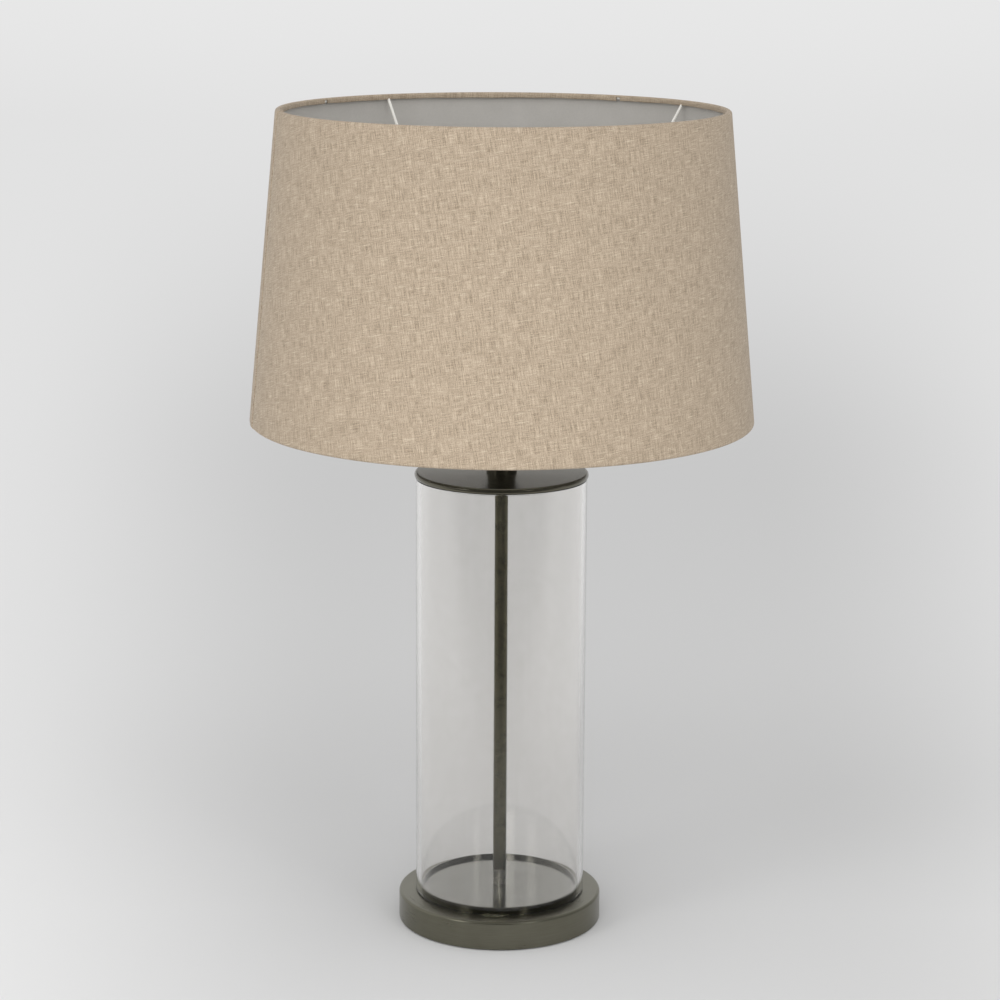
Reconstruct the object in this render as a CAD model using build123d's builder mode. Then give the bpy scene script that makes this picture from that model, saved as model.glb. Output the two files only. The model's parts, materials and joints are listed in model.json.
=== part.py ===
from build123d import *
import os
from math import degrees, hypot, pi

# Column table lamp: a clear glass sleeve stands on a round weighted base, a slim stem runs up inside it to a
# round cap, and a lampholder on the cap carries a tapered drum shade. All sizes are millimetres. The origin is
# at the middle of the foot, on the table, and +Z runs up the stem. The lead leaves at the back, towards +Y.

os.makedirs("parts", exist_ok=True)
level_tolerance = 0.01      # how closely an edge's height has to match when it is picked

# ---------------------------------------------------------------- driving dimensions: base
base_radius = 92.5
base_top_z = 26.3
shell_wall = 1.5
shell_rim_lift = 0.8        # the shell's rim stays this far above the table
shell_top_edge = 2.2        # outer rounding at the top
shell_rim_edge = 0.6
felt_edge_inset = 2.0       # felt stops this far inside the cover's edge
felt_thickness = 2.0
cover_thickness = 2.0
cover_rim_gap = 1.0         # cover to the inside of the shell
weight_side_gap = 0.6       # weight to the inside of the shell
weight_thickness = 14.5
weight_chamfer = 2.4
pocket_width = 36.0         # wiring pocket, open to the back
pocket_ceiling = 3.0        # weight left above the pocket
nut_well_radius = 17.0
screw_boss_radius = 6.0
screw_boss_circle = 70.0
cover_screw_count = 3
cover_screw_angle = 30.0
cover_screw_radius = 2.0
cover_screw_length = 9.0
cover_screw_head_radius = 3.8
cover_screw_head_height = 1.8
screw_hole_gap = 0.1
driver_slot = 0.9

# ---------------------------------------------------------------- driving dimensions: lead inlet
inlet_z = 13.0
bush_bore_radius = 3.5
bush_barrel_radius = 5.2
bush_flange_radius = 7.2
bush_flange_thickness = 1.8
bush_lip_radius = 5.9
bush_lip_thickness = 1.6
bush_fit = 0.05             # barrel in the shell's hole

# ---------------------------------------------------------------- driving dimensions: column
stem_rod_radius = 5.0       # threaded tube, M10 x 1
stem_rod_bore = 3.5
stem_rod_foot_z = 15.0
stem_rod_top_gap = 3.0      # from the top of the dome's boss down to the rod's end
rod_hole_gap = 0.2
thread_gap = 0.05           # nuts on the rod
nut_flats = 17.0
lower_nut_height = 4.0
washer_thickness = 1.5
lower_washer_radius = 14.0
tray_radius = 71.8
tray_height = 7.2
tray_rim_width = 1.6
tray_rim_height = 3.2       # rim above the polished floor
tray_chamfer = 0.4
stem_radius = 6.0
stem_wall = 0.8
collar_radius = 5.9
collar_height = 15.0
glass_radius = 77.0
glass_wall = 4.4
glass_length = 387.5
glass_edge = 0.7            # melted edges of the glass
cap_radius = 78.2
cap_thickness = 5.5
cap_edge = 2.4
cap_spigot_height = 1.6
spigot_gap = 0.6            # spigot to the inside of the glass

# ---------------------------------------------------------------- driving dimensions: lampholder
cup_flange_radius = 13.7
cup_flange_height = 3.6
cup_neck_radius = 12.6
cup_height = 14.0
cup_wall = 1.2
cap_nut_flats = 14.0
cap_nut_height = 4.0
cap_washer_radius = 9.5
dome_foot_radius = 12.6
dome_radius = 20.0
dome_height = 24.0
dome_bowl_height = 12.0
dome_wall = 1.2
dome_boss_radius = 8.0
dome_boss_height = 9.0
skirt_height = 49.5
skirt_wall = 1.3
skirt_thread_radius = 19.5
skirt_lip_radius = 15.6
skirt_lip_thickness = 1.8
ledge_height = 5.0
ledge_radius = 16.4
shoulder_radius = 27.5
shoulder_rise = 28.2        # foot of the skirt to the top of its shoulder
shoulder_thickness = 2.6
insert_gap = 0.3
insert_floor = 8.5
insert_wall = 3.4
insert_radius = 17.9
socket_radius = 14.3        # outside of the threaded inner shell
socket_wall = 0.7
socket_floor_bore = 8.4
socket_height = 25.0
rivet_radius = 1.2
rivet_hole_gap = 0.15
neutral_rivet_x = 11.0
live_rivet_x = 6.6
contact_width = 5.0
contact_thickness = 0.6
contact_rise = 3.0
contact_reach = 2.6
post_size = 6.0
post_height = 7.0
post_x = 9.4
post_screw_rise = 2.2
post_bore_gap = 0.2         # end of a core to the end of its bore
post_screw_radius = 1.3
post_head_radius = 1.9
post_head_height = 1.7

# ---------------------------------------------------------------- driving dimensions: bulb
bulb_seat_gap = 0.3         # centre tip above the contact
tip_radius = 4.5
tip_height = 1.4
tip_edge = 0.8
insulator_radius = 10.5
insulator_height = 3.6
insulator_foot_radius = 5.6
bulb_cap_radius = 13.1
bulb_cap_height = 22.0
bulb_cap_wall = 0.5
bulb_cap_floor_bore = 7.0
bulb_collar_radius = 13.5
bulb_collar_height = 3.0
bulb_neck_radius = 12.6
bulb_neck_rise = 2.1        # straight neck above the cap
bulb_radius = 30.0
bulb_glass_height = 78.0
bulb_glass_wall = 0.9
bulb_neck_overlap = 1.0     # neck down inside the cap

# ---------------------------------------------------------------- driving dimensions: shade
shade_bottom_z = 466.5
shade_height = 277.0
shade_bottom_radius = 225.0
shade_top_radius = 199.4
linen_thickness = 0.8
lining_thickness = 0.6
shade_layer_gap = 0.2
shade_wire_radius = 1.5
hem_corner = 2.4
hem_depth = 5.3             # how far the rolled cloth comes down inside
lining_end_gap = 2.2        # lining stops this far from the rolled ends
seam_angle = -78.0          # from the front, towards the left
seam_width = 11.0
seam_step = 0.5
spoke_count = 4
spoke_wire_radius = 1.3
spoke_first_angle = 33.4    # from straight back, towards the left
spoke_bend = 4.0
spoke_foot_length = 3.2
spoke_end_gap = 0.1
spoke_clearance = 1.0       # spoke's foot to the shade ring
notch_width = 4.2
notch_rise = 3.6            # above the edge of the rolled cloth
carrier_bore = 20.9
carrier_radius = 31.5
carrier_thickness = 1.5
seat_gap = 0.3              # between pieces that move on each other

# ---------------------------------------------------------------- driving dimensions: shade ring
slip_washer_thickness = 0.8
ring_bore_gap = 0.3
ring_radius = 26.4
ring_height = 9.0
ring_edge = 0.8
ring_grip_count = 24
ring_grip_radius = 1.3
ring_grip_set_out = 0.5     # centres of the grips outside the ring
slip_washer_radius = 26.0

# ---------------------------------------------------------------- driving dimensions: wiring
core_radius = 1.1
core_offset_x = 1.7
core_run_z = 7.4            # height of the cores under the weight
core_bend = 8.5
block_width = 26.0
block_depth = 14.0
block_height = 11.0
block_y = 57.0
block_pitch = 8.0
way_count = 3
block_screw_pitch = 7.0     # the two rows of clamping screws
screw_slot = 0.8
block_bore_radius = 1.5
block_bore_drop = 6.0       # bores below the pocket's ceiling
block_screw_radius = 1.4
block_screw_length = 3.2
block_fixing_head_radius = 2.4
block_fixing_head_height = 1.6
fixing_tip_gap = 0.2        # tip of a fixing screw to the underside of the shell
earth_x = -11.0
earth_y = 26.0
tag_radius = 4.2
tag_thickness = 0.8
tag_barrel_radius = 1.9
tag_barrel_length = 6.0
tag_barrel_drop = 2.2       # centre of the barrel below the weight's ceiling
tag_neck_width = 3.0
earth_screw_radius = 2.0
earth_head_radius = 3.6
earth_head_height = 2.4
core_entry = 4.0            # how far a core goes into a bore
core_rise = 3.0             # from the rod's end, or a terminal, to the point of a bend
core_run_y = 24.0
core_climb_y = 40.0
neutral_run_x = 5.0
live_run_x = -0.9
earth_climb_start = 3.0     # from the block's face to the point of a bend
earth_climb_end = 3.4       # from the tag's barrel to the point of a bend

# ---------------------------------------------------------------- heights that follow
shell_inner_radius = base_radius - shell_wall
shell_ceiling_z = base_top_z - shell_wall
cover_bottom_z = felt_thickness
cover_top_z = cover_bottom_z + cover_thickness
cover_radius = shell_inner_radius - cover_rim_gap
felt_radius = cover_radius - felt_edge_inset
weight_radius = shell_inner_radius - weight_side_gap
weight_bottom_z = shell_ceiling_z - weight_thickness
pocket_top_z = shell_ceiling_z - pocket_ceiling
rod_hole_radius = stem_rod_radius + rod_hole_gap
tray_top_z = base_top_z + tray_height
tray_floor_z = tray_top_z - tray_rim_height
glass_inner_radius = glass_radius - glass_wall
glass_top_z = base_top_z + glass_length
cap_top_z = glass_top_z + cap_thickness
spigot_bottom_z = glass_top_z - cap_spigot_height
collar_top_z = tray_floor_z + collar_height
cup_step_z = cap_top_z + cup_flange_height
cup_top_z = cap_top_z + cup_height
dome_top_z = cup_top_z + dome_height
rod_top_z = cup_top_z + dome_boss_height - stem_rod_top_gap
skirt_top_z = dome_top_z + skirt_height
ledge_top_z = dome_top_z + ledge_height
insert_top_z = skirt_top_z - skirt_lip_thickness - insert_gap
socket_floor_z = ledge_top_z + insert_floor
contact_top_z = socket_floor_z + contact_thickness + contact_rise
tip_bottom_z = contact_top_z + bulb_seat_gap
insulator_bottom_z = tip_bottom_z + tip_height
bulb_cap_bottom_z = insulator_bottom_z + insulator_height
bulb_collar_z = bulb_cap_bottom_z + bulb_cap_height
bulb_cap_top_z = bulb_collar_z + bulb_collar_height
shade_top_z = shade_bottom_z + shade_height
post_bottom_z = ledge_top_z - post_height
post_screw_z = post_bottom_z + post_screw_rise
block_fixing_x = block_pitch / 2.0
block_bottom_z = pocket_top_z - block_height
block_bore_z = pocket_top_z - block_bore_drop
block_front_y = block_y - block_depth / 2.0
shade_slope = (shade_bottom_radius - shade_top_radius) / shade_height
slope_stretch = hypot(1.0, shade_slope)     # a slanted wall is this much wider when cut level
hem_width = 2.0 * (linen_thickness + shade_wire_radius) + lining_thickness + 3.0 * shade_layer_gap
hem_wire_inset = linen_thickness + shade_layer_gap + shade_wire_radius
top_wire_z = shade_top_z - hem_wire_inset
bottom_wire_z = shade_bottom_z + hem_wire_inset


def shade_radius_at(z):
    """Outer radius of the linen at height z."""
    return shade_bottom_radius - shade_slope * (z - shade_bottom_z)


wire_depth = (linen_thickness + lining_thickness + 2.0 * shade_layer_gap + shade_wire_radius) * slope_stretch
top_wire_ring = shade_radius_at(top_wire_z) - wire_depth
bottom_wire_ring = shade_radius_at(bottom_wire_z) - wire_depth

# The shade frame is seated just under the level that its spokes slope down to.
shoulder_top_z = dome_top_z + shoulder_rise
carrier_bottom_z = shoulder_top_z + seat_gap
carrier_top_z = carrier_bottom_z + carrier_thickness
slip_washer_z = carrier_top_z + seat_gap
shade_ring_z = slip_washer_z + slip_washer_thickness + seat_gap
ring_bore = skirt_thread_radius + ring_bore_gap

inlet_plane = Plane(origin=(0, base_radius, inlet_z), x_dir=(1, 0, 0), z_dir=(0, 1, 0))

# ================================================================ base
with BuildPart() as felt_pad:
    with BuildSketch():
        Circle(felt_radius)
    extrude(amount=felt_thickness)

felt_pad.part.label = "felt_pad"
export_step(felt_pad.part, "parts/felt_pad.step")

cover_screw_spots = PolarLocations(screw_boss_circle, cover_screw_count, start_angle=cover_screw_angle)

with BuildPart() as base_cover:
    with BuildSketch(Plane.XY.offset(cover_bottom_z)):
        Circle(cover_radius)
    extrude(amount=cover_thickness)
    with BuildSketch(Plane.XY.offset(cover_bottom_z)):
        with cover_screw_spots:
            Circle(cover_screw_radius + screw_hole_gap)
    extrude(amount=cover_thickness, mode=Mode.SUBTRACT)
    with BuildSketch(Plane.XY.offset(cover_bottom_z)):
        with cover_screw_spots:
            Circle(cover_screw_head_radius + screw_hole_gap)
    extrude(amount=cover_screw_head_height + screw_hole_gap, taper=45, mode=Mode.SUBTRACT)

base_cover.part.label = "base_cover"
export_step(base_cover.part, "parts/base_cover.step")

# Countersunk screws: the heads lie flush under the cover, and the felt hides them.
with BuildPart() as cover_screws:
    with BuildSketch(Plane.XY.offset(cover_bottom_z)):
        with cover_screw_spots:
            Circle(cover_screw_head_radius)
    extrude(amount=cover_screw_head_height, taper=45)
    with BuildSketch(Plane.XY.offset(cover_bottom_z)):
        with cover_screw_spots:
            Circle(cover_screw_radius)
    extrude(amount=cover_screw_length)
    with BuildSketch(Plane.XY.offset(cover_bottom_z)):
        with cover_screw_spots:
            Rectangle(2.0 * cover_screw_head_radius, driver_slot)
    extrude(amount=driver_slot, mode=Mode.SUBTRACT)

cover_screws.part.label = "cover_screws"
export_step(cover_screws.part, "parts/cover_screws.step")

# The spun shell: a shallow cup upside down, its rim just clear of the table.
with BuildPart() as base_shell:
    with BuildSketch(Plane.XZ):
        with BuildLine():
            Polyline(
                (rod_hole_radius, base_top_z),
                (base_radius, base_top_z),
                (base_radius, shell_rim_lift),
                (shell_inner_radius, shell_rim_lift),
                (shell_inner_radius, shell_ceiling_z),
                (rod_hole_radius, shell_ceiling_z),
                close=True,
            )
        make_face()
    revolve(axis=Axis.Z)
    shell_circles = base_shell.edges().filter_by(GeomType.CIRCLE)
    fillet(shell_circles.group_by(Axis.Z)[-1].sort_by(SortBy.RADIUS)[-1], shell_top_edge)
    rim_circles = base_shell.edges().filter_by(GeomType.CIRCLE).group_by(Axis.Z)[0]
    fillet(rim_circles, shell_rim_edge)
    ceiling_circles = base_shell.edges().filter_by(GeomType.CIRCLE).filter_by_position(
        Axis.Z, shell_ceiling_z - level_tolerance, shell_ceiling_z + level_tolerance)
    fillet(ceiling_circles.sort_by(SortBy.RADIUS)[-1], shell_top_edge - shell_wall)
    with BuildSketch(inlet_plane.offset(shell_wall)):
        Circle(bush_barrel_radius + bush_fit)
    extrude(amount=-3.0 * shell_wall, mode=Mode.SUBTRACT)

base_shell.part.label = "base_shell"
export_step(base_shell.part, "parts/base_shell.step")

pocket_length = weight_radius

with BuildPart() as base_weight:
    with BuildSketch(Plane.XY.offset(weight_bottom_z)):
        Circle(weight_radius)
    extrude(amount=weight_thickness)
    chamfer(base_weight.edges().group_by(Axis.Z)[-1], weight_chamfer)
    with BuildSketch(Plane.XY.offset(cover_top_z)):
        with cover_screw_spots:
            Circle(screw_boss_radius)
    extrude(amount=weight_bottom_z - cover_top_z)
    with BuildSketch(Plane.XY.offset(cover_top_z)):
        with cover_screw_spots:
            Circle(cover_screw_radius + screw_hole_gap)
    extrude(amount=cover_screw_length, mode=Mode.SUBTRACT)
    with BuildSketch(Plane.XY.offset(weight_bottom_z)):
        Circle(nut_well_radius)
        with Locations((0, pocket_length / 2.0)):
            Rectangle(pocket_width, pocket_length)
    extrude(amount=pocket_top_z - weight_bottom_z, mode=Mode.SUBTRACT)
    with BuildSketch(Plane.XY.offset(weight_bottom_z)):
        Circle(rod_hole_radius)
        with Locations((earth_x, earth_y)):
            Circle(earth_screw_radius + screw_hole_gap)
        with Locations((block_fixing_x, block_y)):
            Circle(block_screw_radius + screw_hole_gap)
    extrude(amount=weight_thickness, mode=Mode.SUBTRACT)

base_weight.part.label = "base_weight"
export_step(base_weight.part, "parts/base_weight.step")

# A snap bush lines the inlet: flange outside, barrel through the wall, retaining lip inside.
with BuildPart() as cord_bush:
    with BuildSketch(inlet_plane):
        Circle(bush_flange_radius)
    extrude(amount=bush_flange_thickness)
    fillet(cord_bush.edges().group_by(Axis.Y)[-1], shell_rim_edge)
    with BuildSketch(inlet_plane):
        Circle(bush_barrel_radius)
    extrude(amount=-(shell_wall + seat_gap + bush_lip_thickness))
    with BuildSketch(inlet_plane.offset(-(shell_wall + seat_gap))):
        Circle(bush_lip_radius)
    extrude(amount=-bush_lip_thickness)
    with BuildSketch(inlet_plane.offset(bush_flange_thickness)):
        Circle(bush_bore_radius)
    extrude(amount=-(bush_flange_thickness + shell_wall + seat_gap + bush_lip_thickness), mode=Mode.SUBTRACT)

cord_bush.part.label = "cord_bush"
export_step(cord_bush.part, "parts/cord_bush.step")

# ================================================================ column
with BuildPart() as lower_washer:
    with BuildSketch(Plane.XY.offset(pocket_top_z - washer_thickness)):
        Circle(lower_washer_radius)
        Circle(rod_hole_radius, mode=Mode.SUBTRACT)
    extrude(amount=washer_thickness)

lower_washer.part.label = "lower_washer"
export_step(lower_washer.part, "parts/lower_washer.step")

with BuildPart() as lower_nut:
    with BuildSketch(Plane.XY.offset(pocket_top_z - washer_thickness - lower_nut_height)):
        RegularPolygon(nut_flats / 2.0, 6, major_radius=False)
        Circle(stem_rod_radius + thread_gap, mode=Mode.SUBTRACT)
    extrude(amount=lower_nut_height)

lower_nut.part.label = "lower_nut"
export_step(lower_nut.part, "parts/lower_nut.step")

with BuildPart() as stem_rod:
    with BuildSketch(Plane.XY.offset(stem_rod_foot_z)):
        Circle(stem_rod_radius)
        Circle(stem_rod_bore, mode=Mode.SUBTRACT)
    extrude(amount=rod_top_z - stem_rod_foot_z)

stem_rod.part.label = "stem_rod"
export_step(stem_rod.part, "parts/stem_rod.step")

# The tray locates the glass from inside: a polished floor within a low rim.
with BuildPart() as seat_tray:
    with BuildSketch(Plane.XY.offset(base_top_z)):
        Circle(tray_radius)
        Circle(rod_hole_radius, mode=Mode.SUBTRACT)
    extrude(amount=tray_height)
    chamfer(seat_tray.edges().group_by(Axis.Z)[-1].sort_by(SortBy.RADIUS)[-1], tray_chamfer)
    with BuildSketch(Plane.XY.offset(tray_floor_z)):
        Circle(tray_radius - tray_rim_width)
    extrude(amount=tray_rim_height, mode=Mode.SUBTRACT)

seat_tray.part.label = "seat_tray"
export_step(seat_tray.part, "parts/seat_tray.step")

with BuildPart() as stem_collar:
    with BuildSketch(Plane.XY.offset(tray_floor_z)):
        Circle(collar_radius)
        Circle(rod_hole_radius, mode=Mode.SUBTRACT)
    extrude(amount=collar_height)

stem_collar.part.label = "stem_collar"
export_step(stem_collar.part, "parts/stem_collar.step")

with BuildPart() as stem_tube:
    with BuildSketch(Plane.XY.offset(collar_top_z)):
        Circle(stem_radius)
        Circle(stem_radius - stem_wall, mode=Mode.SUBTRACT)
    extrude(amount=spigot_bottom_z - collar_top_z)

stem_tube.part.label = "stem_tube"
export_step(stem_tube.part, "parts/stem_tube.step")

with BuildPart() as glass_sleeve:
    with BuildSketch(Plane.XY.offset(base_top_z)):
        Circle(glass_radius)
        Circle(glass_inner_radius, mode=Mode.SUBTRACT)
    extrude(amount=glass_length)
    fillet(glass_sleeve.edges().filter_by(GeomType.CIRCLE), glass_edge)

glass_sleeve.part.label = "glass_sleeve"
export_step(glass_sleeve.part, "parts/glass_sleeve.step")

with BuildPart() as cap_disc:
    with BuildSketch(Plane.XY.offset(glass_top_z)):
        Circle(cap_radius)
    extrude(amount=cap_thickness)
    fillet(cap_disc.edges().filter_by(GeomType.CIRCLE), cap_edge)
    with BuildSketch(Plane.XY.offset(spigot_bottom_z)):
        Circle(glass_inner_radius - spigot_gap)
    extrude(amount=cap_spigot_height)
    with BuildSketch(Plane.XY.offset(spigot_bottom_z)):
        Circle(rod_hole_radius)
    extrude(amount=cap_spigot_height + cap_thickness, mode=Mode.SUBTRACT)

cap_disc.part.label = "cap_disc"
export_step(cap_disc.part, "parts/cap_disc.step")

with BuildPart() as cap_washer:
    with BuildSketch(Plane.XY.offset(cap_top_z)):
        Circle(cap_washer_radius)
        Circle(rod_hole_radius, mode=Mode.SUBTRACT)
    extrude(amount=washer_thickness)

cap_washer.part.label = "cap_washer"
export_step(cap_washer.part, "parts/cap_washer.step")

with BuildPart() as cap_nut:
    with BuildSketch(Plane.XY.offset(cap_top_z + washer_thickness)):
        RegularPolygon(cap_nut_flats / 2.0, 6, major_radius=False)
        Circle(stem_rod_radius + thread_gap, mode=Mode.SUBTRACT)
    extrude(amount=cap_nut_height)

cap_nut.part.label = "cap_nut"
export_step(cap_nut.part, "parts/cap_nut.step")

# ================================================================ lampholder
with BuildPart() as holder_cup:
    with BuildSketch(Plane.XZ):
        with BuildLine():
            Polyline(
                (rod_hole_radius, cup_top_z),
                (cup_neck_radius, cup_top_z),
                (cup_neck_radius, cup_step_z),
                (cup_flange_radius, cup_step_z),
                (cup_flange_radius, cap_top_z),
                (cup_neck_radius - cup_wall, cap_top_z),
                (cup_neck_radius - cup_wall, cup_top_z - cup_wall),
                (rod_hole_radius, cup_top_z - cup_wall),
                close=True,
            )
        make_face()
    revolve(axis=Axis.Z)
    flange_circles = holder_cup.edges().filter_by(GeomType.CIRCLE).filter_by_position(
        Axis.Z, cup_step_z - level_tolerance, cup_step_z + level_tolerance)
    fillet(flange_circles.sort_by(SortBy.RADIUS)[-1], shell_rim_edge)

holder_cup.part.label = "holder_cup"
export_step(holder_cup.part, "parts/holder_cup.step")

# The dome is a round bowl on the cup, with a threaded boss inside for the rod.
dome_shoulder_z = cup_top_z + dome_bowl_height
dome_bore = stem_rod_radius + thread_gap

with BuildPart() as holder_dome:
    with BuildSketch(Plane.XZ):
        with BuildLine():
            Line((dome_bore, cup_top_z), (dome_foot_radius, cup_top_z))
            TangentArc((dome_radius, dome_shoulder_z), (dome_foot_radius, cup_top_z), tangent=(0, -1))
            Polyline(
                (dome_radius, dome_shoulder_z),
                (dome_radius, dome_top_z),
                (dome_radius - dome_wall, dome_top_z),
                (dome_radius - dome_wall, dome_shoulder_z),
            )
            TangentArc((dome_radius - dome_wall, dome_shoulder_z), (dome_foot_radius - dome_wall, cup_top_z + dome_wall),
                       tangent=(0, -1))
            Polyline(
                (dome_foot_radius - dome_wall, cup_top_z + dome_wall),
                (dome_boss_radius, cup_top_z + dome_wall),
                (dome_boss_radius, cup_top_z + dome_boss_height),
                (dome_bore, cup_top_z + dome_boss_height),
                (dome_bore, cup_top_z),
            )
        make_face()
    revolve(axis=Axis.Z)

holder_dome.part.label = "holder_dome"
export_step(holder_dome.part, "parts/holder_dome.step")

# The skirt screws on the dome; its shoulder carries the shade and its upper half is threaded for the ring.
with BuildPart() as holder_skirt:
    with BuildSketch(Plane.XZ):
        with BuildLine():
            Polyline(
                (ledge_radius, dome_top_z),
                (dome_radius, dome_top_z),
                (dome_radius, shoulder_top_z - shoulder_thickness),
                (shoulder_radius, shoulder_top_z - shoulder_thickness),
                (shoulder_radius, shoulder_top_z),
                (skirt_thread_radius, shoulder_top_z),
                (skirt_thread_radius, skirt_top_z),
                (skirt_lip_radius, skirt_top_z),
                (skirt_lip_radius, skirt_top_z - skirt_lip_thickness),
                (skirt_thread_radius - skirt_wall, skirt_top_z - skirt_lip_thickness),
                (skirt_thread_radius - skirt_wall, ledge_top_z),
                (ledge_radius, ledge_top_z),
                close=True,
            )
        make_face()
    revolve(axis=Axis.Z)
    shoulder_circles = holder_skirt.edges().filter_by(GeomType.CIRCLE).sort_by(SortBy.RADIUS)[-2:]
    fillet(shoulder_circles, shell_rim_edge)

holder_skirt.part.label = "holder_skirt"
export_step(holder_skirt.part, "parts/holder_skirt.step")

with BuildPart() as holder_insert:
    with BuildSketch(Plane.XY.offset(ledge_top_z)):
        Circle(insert_radius)
    extrude(amount=insert_top_z - ledge_top_z)
    with BuildSketch(Plane.XY.offset(socket_floor_z)):
        Circle(insert_radius - insert_wall)
    extrude(amount=insert_top_z - socket_floor_z, mode=Mode.SUBTRACT)
    with BuildSketch(Plane.XY.offset(ledge_top_z)):
        with Locations((neutral_rivet_x, 0), (-live_rivet_x, 0)):
            Circle(rivet_radius + rivet_hole_gap)
    extrude(amount=insert_floor, mode=Mode.SUBTRACT)

holder_insert.part.label = "holder_insert"
export_step(holder_insert.part, "parts/holder_insert.step")

# Threaded inner shell, drawn as a plain tube, with the rivet that ties it to the neutral terminal.
with BuildPart() as screw_shell:
    with BuildSketch(Plane.XY.offset(socket_floor_z)):
        Circle(socket_radius)
    extrude(amount=socket_height)
    with BuildSketch(Plane.XY.offset(socket_floor_z + socket_wall)):
        Circle(socket_radius - socket_wall)
    extrude(amount=socket_height - socket_wall, mode=Mode.SUBTRACT)
    with BuildSketch(Plane.XY.offset(socket_floor_z)):
        Circle(socket_floor_bore)
    extrude(amount=socket_wall, mode=Mode.SUBTRACT)
    with BuildSketch(Plane.XY.offset(ledge_top_z)):
        with Locations((neutral_rivet_x, 0)):
            Circle(rivet_radius)
    extrude(amount=insert_floor)

screw_shell.part.label = "screw_shell"
export_step(screw_shell.part, "parts/screw_shell.step")

# The live contact: a springy strip that rises to the middle, on its own rivet.
with BuildPart() as centre_contact:
    with BuildSketch(Plane.XZ.offset(-contact_width / 2.0)):
        with BuildLine():
            Polyline(
                (-live_rivet_x - rivet_radius, socket_floor_z),
                (-live_rivet_x + rivet_radius, socket_floor_z),
                (-contact_reach, socket_floor_z + contact_rise),
                (contact_reach, socket_floor_z + contact_rise),
                (contact_reach, socket_floor_z + contact_rise + contact_thickness),
                (-contact_reach - contact_thickness, socket_floor_z + contact_rise + contact_thickness),
                (-live_rivet_x + rivet_radius - contact_thickness, socket_floor_z + contact_thickness),
                (-live_rivet_x - rivet_radius, socket_floor_z + contact_thickness),
                close=True,
            )
        make_face()
    extrude(amount=contact_width)
    with BuildSketch(Plane.XY.offset(ledge_top_z)):
        with Locations((-live_rivet_x, 0)):
            Circle(rivet_radius)
    extrude(amount=insert_floor)

centre_contact.part.label = "centre_contact"
export_step(centre_contact.part, "parts/centre_contact.step")

post_spots = Locations((post_x, 0), (-post_x, 0))
post_screw_spots = Locations((post_x, post_screw_z), (-post_x, post_screw_z))
post_front = Plane.XZ.offset(post_size / 2.0)

with BuildPart() as holder_terminals:
    with BuildSketch(Plane.XY.offset(post_bottom_z)):
        with post_spots:
            Rectangle(post_size, post_size)
    extrude(amount=post_height)
    with BuildSketch(Plane.XY.offset(post_bottom_z)):
        with post_spots:
            Circle(core_radius + screw_hole_gap)
    extrude(amount=core_entry + post_bore_gap, mode=Mode.SUBTRACT)
    with BuildSketch(post_front):
        with post_screw_spots:
            Circle(post_screw_radius + screw_hole_gap)
    extrude(amount=-post_size / 2.0, mode=Mode.SUBTRACT)

holder_terminals.part.label = "holder_terminals"
export_step(holder_terminals.part, "parts/holder_terminals.step")

# Clamping screws for the two terminals, driven from the front.
with BuildPart() as holder_screws:
    with BuildSketch(post_front):
        with post_screw_spots:
            Circle(post_head_radius)
    extrude(amount=post_head_height)
    with BuildSketch(post_front):
        with post_screw_spots:
            Circle(post_screw_radius)
    extrude(amount=-(post_size / 2.0 - core_radius - screw_hole_gap))

holder_screws.part.label = "holder_screws"
export_step(holder_screws.part, "parts/holder_screws.step")

# ================================================================ bulb
with BuildPart() as bulb_contact:
    with BuildSketch(Plane.XY.offset(tip_bottom_z)):
        Circle(tip_radius)
    extrude(amount=tip_height)
    fillet(bulb_contact.edges().group_by(Axis.Z)[0], tip_edge)

bulb_contact.part.label = "bulb_contact"
export_step(bulb_contact.part, "parts/bulb_contact.step")

with BuildPart() as bulb_insulator:
    with BuildSketch(Plane.XZ):
        with BuildLine():
            Polyline(
                (0, insulator_bottom_z),
                (insulator_foot_radius, insulator_bottom_z),
                (insulator_radius, bulb_cap_bottom_z),
                (0, bulb_cap_bottom_z),
                close=True,
            )
        make_face()
    revolve(axis=Axis.Z)

bulb_insulator.part.label = "bulb_insulator"
export_step(bulb_insulator.part, "parts/bulb_insulator.step")

with BuildPart() as bulb_cap:
    with BuildSketch(Plane.XZ):
        with BuildLine():
            Polyline(
                (bulb_cap_floor_bore, bulb_cap_bottom_z),
                (bulb_cap_radius, bulb_cap_bottom_z),
                (bulb_cap_radius, bulb_collar_z),
                (bulb_collar_radius, bulb_collar_z),
                (bulb_collar_radius, bulb_cap_top_z),
                (bulb_collar_radius - bulb_cap_wall, bulb_cap_top_z),
                (bulb_collar_radius - bulb_cap_wall, bulb_collar_z + bulb_cap_wall),
                (bulb_cap_radius - bulb_cap_wall, bulb_collar_z + bulb_cap_wall),
                (bulb_cap_radius - bulb_cap_wall, bulb_cap_bottom_z + bulb_cap_wall),
                (bulb_cap_floor_bore, bulb_cap_bottom_z + bulb_cap_wall),
                close=True,
            )
        make_face()
    revolve(axis=Axis.Z)

bulb_cap.part.label = "bulb_cap"
export_step(bulb_cap.part, "parts/bulb_cap.step")

# The glass: a straight neck, a hollow curve that leaves it without a corner, and a ball tangent to the curve.
bulb_glass_bottom_z = bulb_cap_top_z - bulb_neck_overlap
bulb_neck_top_z = bulb_cap_top_z + bulb_neck_rise
bulb_ball_z = bulb_glass_bottom_z + bulb_glass_height - bulb_radius
ball_above_neck = bulb_ball_z - bulb_neck_top_z
bulb_curve_radius = (ball_above_neck ** 2 + bulb_neck_radius ** 2 - bulb_radius ** 2) / (
    2.0 * (bulb_radius - bulb_neck_radius))
curve_centre_r = bulb_neck_radius + bulb_curve_radius
join_r = curve_centre_r / (bulb_curve_radius + bulb_radius)
join_z = -ball_above_neck / (bulb_curve_radius + bulb_radius)

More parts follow.
